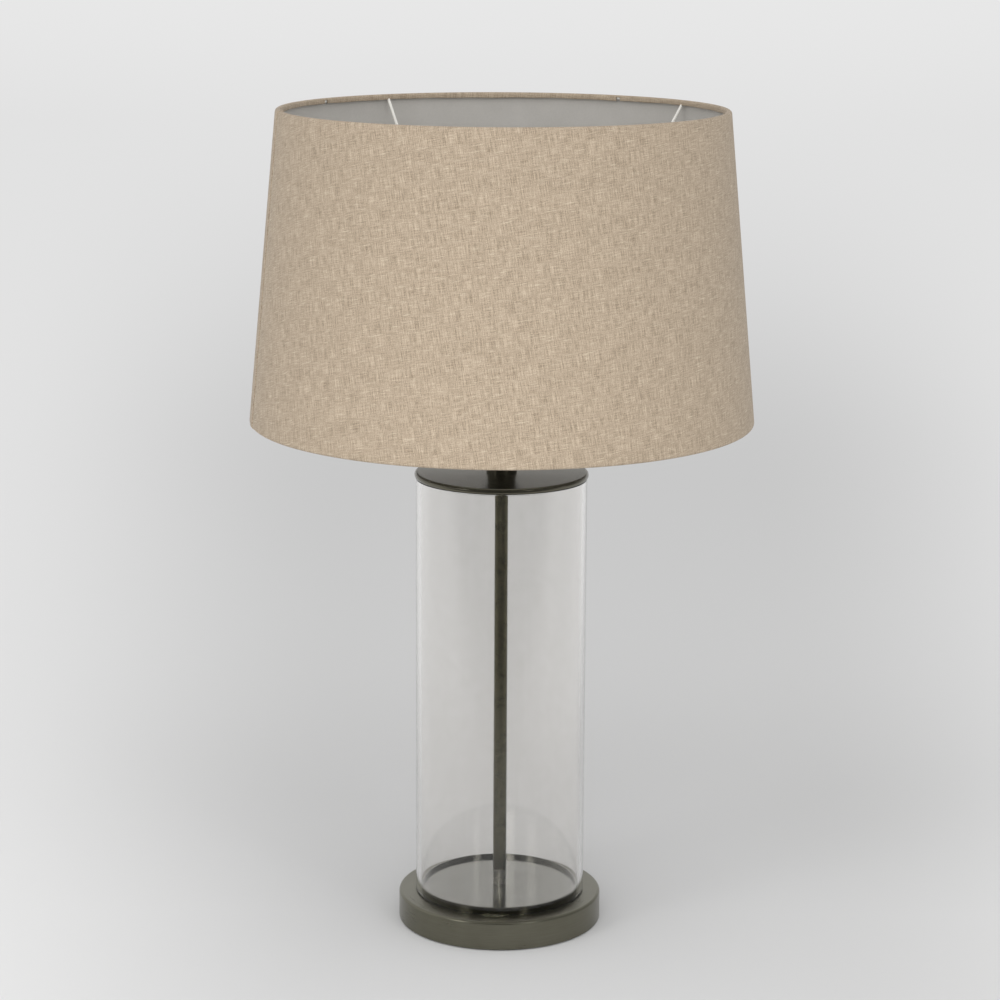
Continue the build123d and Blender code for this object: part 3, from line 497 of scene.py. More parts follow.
@dataclass(frozen=True)
class StripedSleeve(MouldedPlastic):
    """Earth lead's sleeve: green, with a yellow band along its upper half."""

    band: str = "#c9b52f"
    node: str = "earth_core"

    def paint(self, tree: Tree, shader: Node) -> None:
        """Lays the yellow band over the green, above the lead's middle.

        Args:
            tree: The material's node tree.
            shader: Its Principled shader.
        """
        super().paint(tree, shader)
        low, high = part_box(self.node)
        above = calc(tree, "GREATER_THAN", off_axis(tree)[2], (low.z + high.z) / 2.0)
        overlay(tree, shader, above, self.band)


@dataclass(frozen=True)
class ClearGlass(Finish):
    """Drawn clear glass tube.

    The eye gets a clean edge at each side and faint upright draw lines, drawn under a millimetre apart and a
    few microns high, that bend what is seen through the wall. glare is the share kept of the light that it
    mirrors, low because the studio here is paler all round than a room would be.
    """

    roughness: tuple[float, float] = (0.0, 0.012)
    grain: Grain = Grain.UPRIGHT
    grain_mm: float = 6.0
    grain_run: float = 40.0
    relief_mm: float = 0.004
    glare: float = 0.8
    refraction: float = 1.5

    def extras(self, tree: Tree) -> dict[str, object]:
        """Lets the light through."""
        mirror = (self.glare, self.glare, self.glare, 1.0)
        return {"Transmission Weight": 1.0, "IOR": self.refraction, "Specular Tint": mirror}


@dataclass(frozen=True)
class SlubLinen(Finish):
    """Natural plain-weave linen, laminated and stretched.

    The eye gets fine threads that thicken and thin: warp close to upright, weft tilted where the cut cone
    sector turns it, the nubs where they cross, a few dark slubs and pale threads, and a soft mottle. The real
    threads are 0.5 mm apart; they are drawn 0.8 mm apart, as coarse as they need to be to show. The pattern
    reads the cloth's own UV map, which is its flat cut in metres.

    A share is how much of a layer is laid over those before it. A span is where a layer starts and where it
    is at its full strength, on the noise's scale from 0 to 1. hairiness is how strong the finer marks are.
    """

    thread_mm: float = 0.8
    warp_run_mm: float = 13.0
    weft_run_mm: float = 12.0
    nub_mm: float = 0.8
    slub_mm: tuple[float, float] = (4.5, 0.8)
    pale_run_mm: tuple[float, float] = (16.0, 0.8)
    slub_tint: str = "#7d6d58"
    pale_tint: str = "#d6c9b3"
    weft_share: float = 0.4
    nub_share: float = 0.3
    mottle_share: float = 0.07
    tint_span: tuple[float, float] = (0.36, 0.64)
    slub_span: tuple[float, float] = (0.72, 0.8)
    slub_strength: float = 0.5
    pale_span: tuple[float, float] = (0.68, 0.78)
    pale_strength: float = 0.4
    hairiness: float = 0.55
    relief_mm: float = 0.09
    mottle_mm: float = 16.0
    sheen: float = 0.08
    specular: float = 0.2
    roughness: tuple[float, float] = (0.78, 0.92)

    def threads(self, tree: Tree, flat: Socket, across_mm: float, up_mm: float,
                detail: float = 2.0) -> Socket:
        """Builds noise drawn out to the shape of a thread.

        Args:
            tree: The material's node tree.
            flat: The cloth's flat coordinates, in metres.
            across_mm: Size of a mark along the weft.
            up_mm: Size of a mark along the warp.
            detail: How many finer layers the marks have.

        Returns:
            The output that runs from 0 to 1.
        """
        scaled = add_node(tree, "ShaderNodeVectorMath", {
            0: flat, 1: (1.0 / (across_mm * MM), 1.0 / (up_mm * MM), 0.0)}, operation="MULTIPLY")
        return add_node(tree, "ShaderNodeTexNoise", {
            "Vector": scaled.outputs[0], "Scale": 1.0, "Detail": detail, "Roughness": self.hairiness},
            noise_dimensions="2D").outputs["Fac"]

    def paint(self, tree: Tree, shader: Node) -> None:
        """Weaves the colour, gloss and relief.

        Args:
            tree: The material's node tree.
            shader: Its Principled shader.
        """
        flat = add_node(tree, "ShaderNodeUVMap", uv_map=CLOTH_MAP).outputs["UV"]
        warp = self.threads(tree, flat, self.thread_mm, self.warp_run_mm)
        weft = self.threads(tree, flat, self.weft_run_mm, self.thread_mm)
        mottle = self.threads(tree, flat, self.mottle_mm, self.mottle_mm, 4.0)
        slub = self.threads(tree, flat, *self.slub_mm, 1.0)
        pale = self.threads(tree, flat, *self.pale_run_mm, 1.0)
        nubs = self.threads(tree, flat, self.nub_mm, self.nub_mm, 1.0)
        weave = between(tree, self.nub_share, between(tree, self.weft_share, warp, weft), nubs)
        share = remap(tree, between(tree, self.mottle_share, weave, mottle), *self.tint_span)
        slub_share = remap(tree, slub, *self.slub_span, end=self.slub_strength)
        pale_share = remap(tree, pale, *self.pale_span, end=self.pale_strength)
        ground = blend(tree, share, linear(self.dark), linear(self.light))
        slubbed = blend(tree, slub_share, ground, linear(self.slub_tint))
        tint = blend(tree, pale_share, slubbed, linear(self.pale_tint))
        gloss = remap(tree, weave, start=self.roughness[1], end=self.roughness[0])
        self.link(tree, shader, tint, gloss, calc(tree, "ADD", weave, slub_share))


FINISHES: tuple[Finish, ...] = (
    WoolFelt("felt", "#232422", "#32332f"),
    BareMetal("zinc_steel", "#a3a6a8", "#bcbfc0"),
    TurnedBronze("dark_bronze", "#6b695c", "#787669", roughness=(0.26, 0.33), stretch=0.55),
    CastIron("cast_iron", "#2c2c2d", "#3b3a39"),
    MouldedPlastic("black_plastic", "#141414", "#1c1c1c"),
    ShadedWallTray("polished_tray", "#878681", "#8e8d88", roughness=(0.12, 0.16), relief_mm=0.0002, stretch=0.2),
    TurnedBronze("pale_collar", "#8f8d84", "#9d9b92", roughness=(0.22, 0.32)),
    DrawnBronze("stem_bronze", "#504d3e", "#5e5b4a", roughness=(0.24, 0.34)),
    ClearGlass("clear_glass", "#f9f8f6", "#fdfcfb"),
    TurnedBronze("cap_bronze", "#605d51", "#6c695d", roughness=(0.2, 0.28), stretch=0.3),
    TurnedBronze("holder_bronze", "#5c594c", "#6a6658", roughness=(0.3, 0.4), grain_run=6.0),
    GlazedCeramic("holder_ceramic", "#ddd8cc", "#e8e4da"),
    BareMetal("brass", "#b08d45", "#c9a65a"),
    BareMetal("solder_tip", "#a9aaa8", "#bdbebb", roughness=(0.35, 0.5)),
    GlazedCeramic("black_glass", "#0c0c0e", "#131316"),
    BareMetal("bulb_cap_metal", "#bcbdbb", "#cfd0cd"),
    OpalGlass("frosted_glass", "#e9e8e3", "#f1f0eb"),
    SlubLinen("linen", "#817361", "#b8a894"),
    # Painted shade: the lining's white is greyed here to stand for the shade inside the drum.
    LiningFilm("shade_lining", "#b0ada8", "#b9b6b1"),
    PowderCoat("white_wire", "#dedbd4", "#e8e6e0"),
    TurnedBronze("ring_bronze", "#5c594c", "#696557", roughness=(0.28, 0.38)),
    MouldedPlastic("white_plastic", "#dcd9cc", "#e6e3d7"),
    BareMetal("tinned_tag", "#b4b5b2", "#c6c7c4"),
    MouldedPlastic("brown_sleeve", "#5a3320", "#6a3e28"),
    MouldedPlastic("blue_sleeve", "#24568f", "#2e66a3"),
    StripedSleeve("green_sleeve", "#2a6a36", "#347a41"),
)


class Wardrobe:
    """Builds each finish once and hands it out by slot."""

    def __init__(self) -> None:
        """Builds every material."""
        self.materials = {finish.slot: finish.material() for finish in FINISHES}

    def dress(self, node: str) -> None:
        """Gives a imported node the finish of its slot, through its object's own material slots.

        Args:
            node: The node's name.
        """
        for holder in frame["nodes"][node].material_slots:
            holder.material = self.materials[holder.material.name.split(".")[0]]
        report(frame["nodes"][node])


# --------------------------------------------------------------------------------- geometry node models
class NodeModel:
    """A Geometry Nodes tree with named inputs, which makes one plain mesh."""

    def __init__(self, name: str) -> None:
        """Starts an empty tree.

        Args:
            name: The name of the tree and of the piece.
        """
        self.name = name
        self.tree = bpy.data.node_groups.new(name, "GeometryNodeTree")
        self.entry = add_node(self.tree, "NodeGroupInput")
        self.values: dict[str, object] = {}

    def size(self, name: str, value: object, kind: str = "NodeSocketFloat") -> Socket:
        """Adds a named input.

        Args:
            name: What the size is called.
            value: Its value on this object.
            kind: The socket's type.

        Returns:
            The input's output socket inside the tree.
        """
        self.tree.interface.new_socket(name=name, in_out="INPUT", socket_type=kind)
        self.values[name] = value
        return self.entry.outputs[name]

    def make(self, geometry: Socket, material: Material) -> Piece:
        """Closes the tree and turns its result into a plain mesh object.

        Args:
            geometry: The last node's output.
            material: What the piece is made of.

        Returns:
            The piece, at the origin, with no modifier left.
        """
        finish = self.size("Material", material, "NodeSocketMaterial")
        real = add_node(self.tree, "GeometryNodeRealizeInstances", {0: geometry})
        shade = add_node(self.tree, "GeometryNodeSetShadeSmooth", {0: real.outputs[0]})
        painted = add_node(self.tree, "GeometryNodeSetMaterial", {0: shade.outputs[0], "Material": finish})
        self.tree.interface.new_socket(name="Geometry", in_out="OUTPUT", socket_type="NodeSocketGeometry")
        add_node(self.tree, "NodeGroupOutput", {0: painted.outputs[0]})
        piece = add_object(self.name, bpy.data.meshes.new(self.name))
        build = piece.modifiers.new("build", "NODES")
        build.node_group = self.tree
        for item in self.tree.interface.items_tree:
            if item.in_out == "INPUT":
                build[item.identifier] = self.values[item.name]
        weigh = piece.modifiers.new("weigh", "WEIGHTED_NORMAL")
        weigh.weight = FULL_WEIGHT
        seen = bpy.context.evaluated_depsgraph_get()
        mesh = bpy.data.meshes.new_from_object(
            piece.evaluated_get(seen), preserve_all_data_layers=True, depsgraph=seen)
        piece.modifiers.clear()
        piece.data = mesh
        return piece


# --------------------------------------------------------------------------------------- sub-assemblies
@dataclass
class SubAssembly:
    """Pieces that go together on the bench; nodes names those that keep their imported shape."""

    nodes: tuple[str, ...] = ()

    def dress(self, wardrobe: Wardrobe) -> None:
        """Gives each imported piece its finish."""
        for node in self.nodes:
            wardrobe.dress(node)

    def build(self, wardrobe: Wardrobe) -> None:
        """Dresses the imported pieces, where their shapes are right as they are."""
        self.dress(wardrobe)


@dataclass
class WeightedBase(SubAssembly):
    """The foot: felt, cover and screws, shell, cast weight, and the bush where the lead goes in."""

    nodes: tuple[str, ...] = ("felt_pad", "base_cover", "cover_screws", "base_shell", "base_weight",
                              "cord_bush", "lower_washer", "lower_nut")


@dataclass
class GlassColumn(SubAssembly):
    """The clear tube between tray and cap, with the stem inside it.

    wall and edge are the tube's thickness and the rounding of its fire-polished ends.
    """

    wall: float = 4.4 * MM
    edge: float = 0.7 * MM
    facets: int = 256
    edge_steps: int = 4
    nodes: tuple[str, ...] = ("seat_tray", "stem_collar", "stem_tube", "stem_rod", "cap_disc", "cap_washer",
                              "cap_nut")

    def tube(self, material: Material) -> Piece:
        """Turns a rounded wall section round the lamp's axis.

        Args:
            material: The glass.

        Returns:
            The tube, in the place of its node.
        """
        low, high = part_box("glass_sleeve")
        model = NodeModel("glass_tube")
        radius = model.size("Outer radius", high.x)
        wall = model.size("Wall", self.wall)
        foot = model.size("Foot height", low.z)
        length = model.size("Length", high.z - low.z)
        edge = model.size("Edge rounding", self.edge)
        steps = model.size("Edge steps", self.edge_steps, "NodeSocketInt")
        facets = model.size("Facets", self.facets, "NodeSocketInt")
        tree = model.tree
        middle = calc(tree, "SUBTRACT", radius, calc(tree, "MULTIPLY", wall, 0.5))
        level = calc(tree, "MULTIPLY_ADD", length, 0.5, foot)
        place = add_node(tree, "ShaderNodeCombineXYZ", {2: level})
        ring = add_node(tree, "GeometryNodeCurvePrimitiveCircle", {"Resolution": facets, "Radius": middle})
        turned = add_node(tree, "GeometryNodeSetCurveNormal", {0: ring.outputs[0]}, mode="Z_UP")
        section = add_node(tree, "GeometryNodeCurvePrimitiveQuadrilateral", {"Width": wall, "Height": length})
        rounded = add_node(tree, "GeometryNodeFilletCurve", {
            "Curve": section.outputs[0], "Count": steps, "Radius": edge}, mode="POLY")
        solid = add_node(tree, "GeometryNodeCurveToMesh", {
            "Curve": turned.outputs[0], "Profile Curve": rounded.outputs[0]})
        placed = add_node(tree, "GeometryNodeTransform", {
            0: solid.outputs[0], "Translation": place.outputs[0]})
        return model.make(placed.outputs[0], material)

    def build(self, wardrobe: Wardrobe) -> None:
        """Makes the tube and dresses the rest.

        Args:
            wardrobe: The finishes.
        """
        tube = self.tube(wardrobe.materials["clear_glass"])
        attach(tube, "base")
        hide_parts("glass_sleeve")
        report(tube)
        self.dress(wardrobe)


@dataclass
class Lampholder(SubAssembly):
    """Cup, dome and threaded skirt, with the ceramic and the contacts inside, and the shade's clamping ring.

    The thread's ridge is made here, on the plain upper half of the skirt.
    """

    thread_radius: float = 19.45 * MM
    ridge: float = 0.28 * MM
    pitch: float = 2.5 * MM
    turns: float = 6.6
    thread_foot: float = 486.8 * MM
    steps_per_turn: int = 72
    ridge_facets: int = 8
    nodes: tuple[str, ...] = ("holder_cup", "holder_dome", "holder_skirt", "holder_insert", "screw_shell",
                              "centre_contact", "holder_terminals", "holder_screws", "ring_washer",
                              "shade_ring")

    def thread(self, material: Material) -> Piece:
        """Winds a low round ridge up the skirt.

        Args:
            material: The skirt's metal.

        Returns:
            The ridge.
        """
        model = NodeModel("skirt_thread")
        radius = model.size("Radius", self.thread_radius)
        ridge = model.size("Ridge", self.ridge)
        pitch = model.size("Pitch", self.pitch)
        turns = model.size("Turns", self.turns)
        foot = model.size("Foot height", self.thread_foot)
        steps = model.size("Steps per turn", self.steps_per_turn, "NodeSocketInt")
        tree = model.tree
        rise = calc(tree, "MULTIPLY", pitch, turns)
        place = add_node(tree, "ShaderNodeCombineXYZ", {2: foot})
        helix = add_node(tree, "GeometryNodeCurveSpiral", {
            "Resolution": steps, "Rotations": turns, "Start Radius": radius, "End Radius": radius,
            "Height": rise})
        section = add_node(tree, "GeometryNodeCurvePrimitiveCircle", {
            "Resolution": self.ridge_facets, "Radius": ridge})
        solid = add_node(tree, "GeometryNodeCurveToMesh", {
            "Curve": helix.outputs[0], "Profile Curve": section.outputs[0], "Fill Caps": True})
        placed = add_node(tree, "GeometryNodeTransform", {
            0: solid.outputs[0], "Translation": place.outputs[0]})
        return model.make(placed.outputs[0], material)

    def build(self, wardrobe: Wardrobe) -> None:
        """Makes the thread and dresses the rest.

        Args:
            wardrobe: The finishes.
        """
        thread = self.thread(wardrobe.materials["holder_bronze"])
        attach(thread, "base")
        report(thread)
        self.dress(wardrobe)


@dataclass
class LampBulb(SubAssembly):
    """The bulb: frosted glass, rolled cap, insulator and solder tip."""

    nodes: tuple[str, ...] = ("bulb_glass", "bulb_cap", "bulb_insulator", "bulb_contact")


@dataclass
class Wiring(SubAssembly):
    """Terminal block, earth tag and the three leads inside the lamp."""

    nodes: tuple[str, ...] = ("terminal_block", "terminal_screws", "block_screw", "earth_tag", "earth_screw",
                              "live_core", "neutral_core", "earth_core")


@dataclass
class LinenShade(SubAssembly):
    """The drum: linen rolled over two wires, a lapped side seam, a white lining and the wire frame.

    Depths are measured in from the cloth's outer face, square to it. Azimuths run from the front towards the
    right, in degrees. The cloth's flat cut is a sector of a ring, and its threads are straight in that cut.

    edge_waves gives the cut edge's wander: for each wave its share, how many lie round the cloth, and where
    it starts, in radians.
    """

    cloth: float = 0.8 * MM
    roll_width: float = 5.8 * MM
    roll_corner: float = 2.4 * MM
    roll_depth: float = 5.3 * MM
    top_radius: float = 199.4 * MM
    bottom_radius: float = 225.0 * MM
    edge_wander: float = 0.35 * MM
    edge_waves: tuple[tuple[float, float, float], ...] = ((0.6, 9.0, 0.7), (0.4, 31.0, 0.0))
    seam_azimuth: float = -78.0
    seam_width: float = 11.0 * MM
    seam_step: float = 0.5 * MM
    seam_bite: float = 0.3 * MM
    seam_columns: int = 8
    notch_width: float = 4.2 * MM
    notch_rise: float = 3.61 * MM
    first_notch: float = 146.6
    notches: int = 4
    notch_sliver: float = 0.02
    hem_steps: int = 2
    columns: int = 512
    wall_rows: int = 10
    arc_steps: int = 5
    nodes: tuple[str, ...] = ("shade_lining", "top_ring", "bottom_ring", "carrier_ring", "shade_spokes")

    def __post_init__(self) -> None:
        """Reads the shade's height from the frame and works out the slant of the cone."""
        self.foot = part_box("shade_cover")[0].z
        self.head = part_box("shade_cover")[1].z
        self.slope = (self.bottom_radius - self.top_radius) / (self.head - self.foot)
        self.stretch = math.hypot(1.0, self.slope)
        self.taper = self.slope / self.stretch

    def point(self, depth: float, height: float) -> tuple[float, float]:
        """Radius and height of a point at a depth inside the cloth's outer face."""
        radius = self.bottom_radius - self.slope * (height - self.foot) - depth * self.stretch
        return radius, height

    def roll(self, trim: float, inset: float) -> list[tuple[float, float, float]]:
        """Follows the cloth from the end of its hem, over the wire, to the outer wall.

        Args:
            trim: How much of the hem's end is cut off.
            inset: Distance in from the outside of the roll.

        Returns:
            Depth, drop below the rim, and length along the cloth from the untrimmed end, for each point.
        """
        straight = self.roll_depth - self.roll_corner
        quarter = self.roll_corner * math.pi / 2.0
        # The inside of the roll takes in the hem's straight end too, so it has hem_steps more.
        inner_steps = self.arc_steps + self.hem_steps
        points = []
        for i in range(inner_steps + 1):
            run = trim + (straight + quarter - trim) * i / inner_steps
            turn = max(run - straight, 0.0) / self.roll_corner
            arm = self.roll_corner - inset
            depth = self.roll_width - self.roll_corner + arm * math.cos(turn)
            drop = self.roll_depth - run if run < straight else self.roll_corner - arm * math.sin(turn)
            points.append((depth, drop, run))
        start = straight + quarter + self.roll_width - 2.0 * self.roll_corner
        for i in range(self.arc_steps + 1):
            turn = math.pi / 2.0 * i / self.arc_steps
            arm = self.roll_corner - inset
            points.append((self.roll_corner - arm * math.sin(turn), self.roll_corner - arm * math.cos(turn),
                           start + self.roll_corner * turn))
        return points

    def section(self, azimuth: float, inset: float) -> list[tuple[float, float, float]]:
        """Cuts the cloth at an azimuth.

        Args:
            azimuth: Where, in degrees.
            inset: Distance in from the cloth's outer face.

        Returns:
            Radius, height and length along the cloth, from the top hem to the bottom hem.
        """
        turn = math.radians(azimuth)
        wander = self.edge_wander * sum(
            (share * math.sin(waves * turn + start) for share, waves, start in self.edge_waves), 1.0)
        top = self.roll(max(wander, self.notch(azimuth)), inset)
        bottom = self.roll(wander, inset)
        length = top[-1][2]
        wall = (self.head - self.foot - 2.0 * self.roll_corner) * self.stretch
        cut = [(*self.point(depth, self.head - drop), run) for depth, drop, run in top]
        for i in range(1, self.wall_rows):
            share = i / self.wall_rows
            height = self.head - self.roll_corner - (self.head - self.foot - 2.0 * self.roll_corner) * share
            cut.append((*self.point(inset, height), length + wall * share))
        total = 2.0 * length + wall
        cut += [(*self.point(depth, self.foot + drop), total - run) for depth, drop, run in reversed(bottom)]
        return cut

    def notch(self, azimuth: float) -> float:
        """Cuts the top hem away for the spokes.

        Args:
            azimuth: Where, in degrees.

        Returns:
            How much of the hem is cut away there.
        """
        step = 360.0 / self.notches
        off = (azimuth - self.first_notch + step / 2.0) % step - step / 2.0
        return self.notch_rise if abs(math.radians(off)) * self.top_radius < self.notch_width / 2.0 else 0.0

    def flat(self, azimuth: float, run: float) -> tuple[float, float]:
        """Where a point of the cloth lay in the flat cut.

        Args:
            azimuth: The point's azimuth, from the seam round to the seam again.
            run: Length along the cloth from the top hem's end.

        Returns:
            Its place in the cut, in metres, weft across and warp up.
        """
        rim_run = self.roll(0.0, 0.0)[-1][2] - self.roll_corner
        reach = self.top_radius / self.taper + run - rim_run
        turn = math.radians((azimuth - self.seam_azimuth - 180.0) * self.taper)
        return reach * math.sin(turn), self.bottom_radius / self.taper - reach * math.cos(turn)

    def weave(self, name: str, azimuths: list[float], inset: float, thickness: float,
              closed: bool, material: Material) -> Piece:
        """Builds a length of cloth as one closed shell with its flat UV map.

        Args:
            name: The piece's name.
            azimuths: The columns, in order.
            inset: Depth of the shell's outer face; negative stands proud.
            thickness: The shell's thickness.
            closed: Whether the last column meets the first.
            material: The linen.

        Returns:
            The piece.
        """
        builder = bmesh.new()
        threads = builder.loops.layers.uv.new(CLOTH_MAP)
        columns = []
        for azimuth in azimuths:
            outer = self.section(azimuth, inset)
            inner = self.section(azimuth, inset + thickness)
            ring = outer + inner[::-1]
            turn = math.radians(azimuth)
            verts = [builder.verts.new((r * math.sin(turn), -r * math.cos(turn), z)) for r, z, _ in ring]
            columns.append((verts, [run for _, _, run in ring]))
        count = len(columns[0][0])
        spans = len(columns) if closed else len(columns) - 1
        for i in range(spans):
            j = (i + 1) % len(columns)
            here, there = azimuths[i], azimuths[j] + (360.0 if j == 0 else 0.0)
            for k in range(count):
                m = (k + 1) % count
                corners = ((i, k, here), (i, m, here), (j, m, there), (j, k, there))
                face = builder.faces.new([columns[c][0][row] for c, row, _ in corners])
                face.smooth = True
                for loop, (c, row, azimuth) in zip(face.loops, corners):
                    loop[threads].uv = self.flat(azimuth, columns[c][1][row])
        if not closed:
            for c, azimuth in ((0, azimuths[0]), (len(columns) - 1, azimuths[-1])):
                face = builder.faces.new(columns[c][0])
                for loop, run in zip(face.loops, columns[c][1]):
                    loop[threads].uv = self.flat(azimuth, run)
        bmesh.ops.recalc_face_normals(builder, faces=builder.faces)
        mesh = bpy.data.meshes.new(name)
        builder.to_mesh(mesh)
        builder.free()
        mesh.materials.append(material)
        return add_object(name, mesh)

    def cloth_columns(self) -> list[float]:
        """Spreads the cloth's columns from the seam round, with one each side of every notch's edge.

        Returns:
            The columns' azimuths, in degrees and in order.
        """
        columns = [self.seam_azimuth + 360.0 * i / self.columns for i in range(self.columns)]
        half = math.degrees(self.notch_width / 2.0 / self.top_radius)
        for i in range(self.notches):
            past_seam = (self.first_notch + i * 360.0 / self.notches - self.seam_azimuth) % 360.0
            middle = past_seam + self.seam_azimuth
            columns += [middle + side * (half + off)
                        for side in (-1, 1) for off in (-self.notch_sliver, self.notch_sliver)]
        return sorted(columns)

    def flat_size(self) -> tuple[float, float, float]:
        """Unrolls the cone and its two hems.

        Returns:
            Width, height and area of the cloth's flat cut.
        """
        run = self.section(0.0, 0.0)[-1][2]
        near, far = self.flat(0.0, 0.0), self.flat(0.0, run)
        inner = math.hypot(near[0], self.bottom_radius / self.taper - near[1])
        outer = math.hypot(far[0], self.bottom_radius / self.taper - far[1])
        spread = math.radians(360.0 * self.taper)
        width = 2.0 * outer * math.sin(spread / 2.0)
        height = outer - inner * math.cos(spread / 2.0)
        return width, height, (outer ** 2 - inner ** 2) * spread / 2.0

    def build(self, wardrobe: Wardrobe) -> None:
        """Makes the cloth and its seam, and dresses the lining and the frame.

        Args:
            wardrobe: The finishes.
        """
        linen = wardrobe.materials["linen"]
        cover = self.weave("linen_cover", self.cloth_columns(), 0.0, self.cloth, True, linen)
        half = math.degrees(self.seam_width / self.bottom_radius) / 2.0
        strip = [self.seam_azimuth + half * (2.0 * i / self.seam_columns - 1.0)
                 for i in range(self.seam_columns + 1)]
        seam = self.weave("side_seam", strip, -self.seam_step, self.seam_step + self.seam_bite, False, linen)
        for piece in (cover, seam):
            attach(piece, "shade")
            report(piece)
        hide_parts("shade_cover")
        width, height, area = self.flat_size()
        self.dress(wardrobe)


# ----------------------------------------------------------------------------------------------- studio
@dataclass
class Softbox:
    """A lamp of the studio: azimuth from the front towards the right, elevation and distance, size and watts.

    aim is the height that it points at, grid the angle that it shines through, and mirrored whether metal and
    glass show it.
    """

    name: str
    azimuth: float
    elevation: float
    distance: float
    width: float
    height: float
    watts: float
    aim: float = 0.35
    grid: float = 180.0
    mirrored: bool = True

    def hang(self) -> None:
        """Hangs the lamp and aims it at the lamp's axis, unseen by the camera."""
        light = bpy.data.lights.new(self.name, "AREA")
        light.shape = "RECTANGLE"
        light.size, light.size_y, light.energy = self.width, self.height, self.watts
        light.spread = math.radians(self.grid)
        turn, tilt = math.radians(self.azimuth), math.radians(self.elevation)
        made = bpy.data.objects.new(self.name, light)
        bpy.context.scene.collection.objects.link(made)
        made.location = (self.distance * math.cos(tilt) * math.sin(turn),
                         -self.distance * math.cos(tilt) * math.cos(turn),
                         self.aim + self.distance * math.sin(tilt))
        made.rotation_euler = (math.pi / 2.0 - tilt, 0.0, turn)
        made.visible_camera = False
        made.visible_glossy = self.mirrored


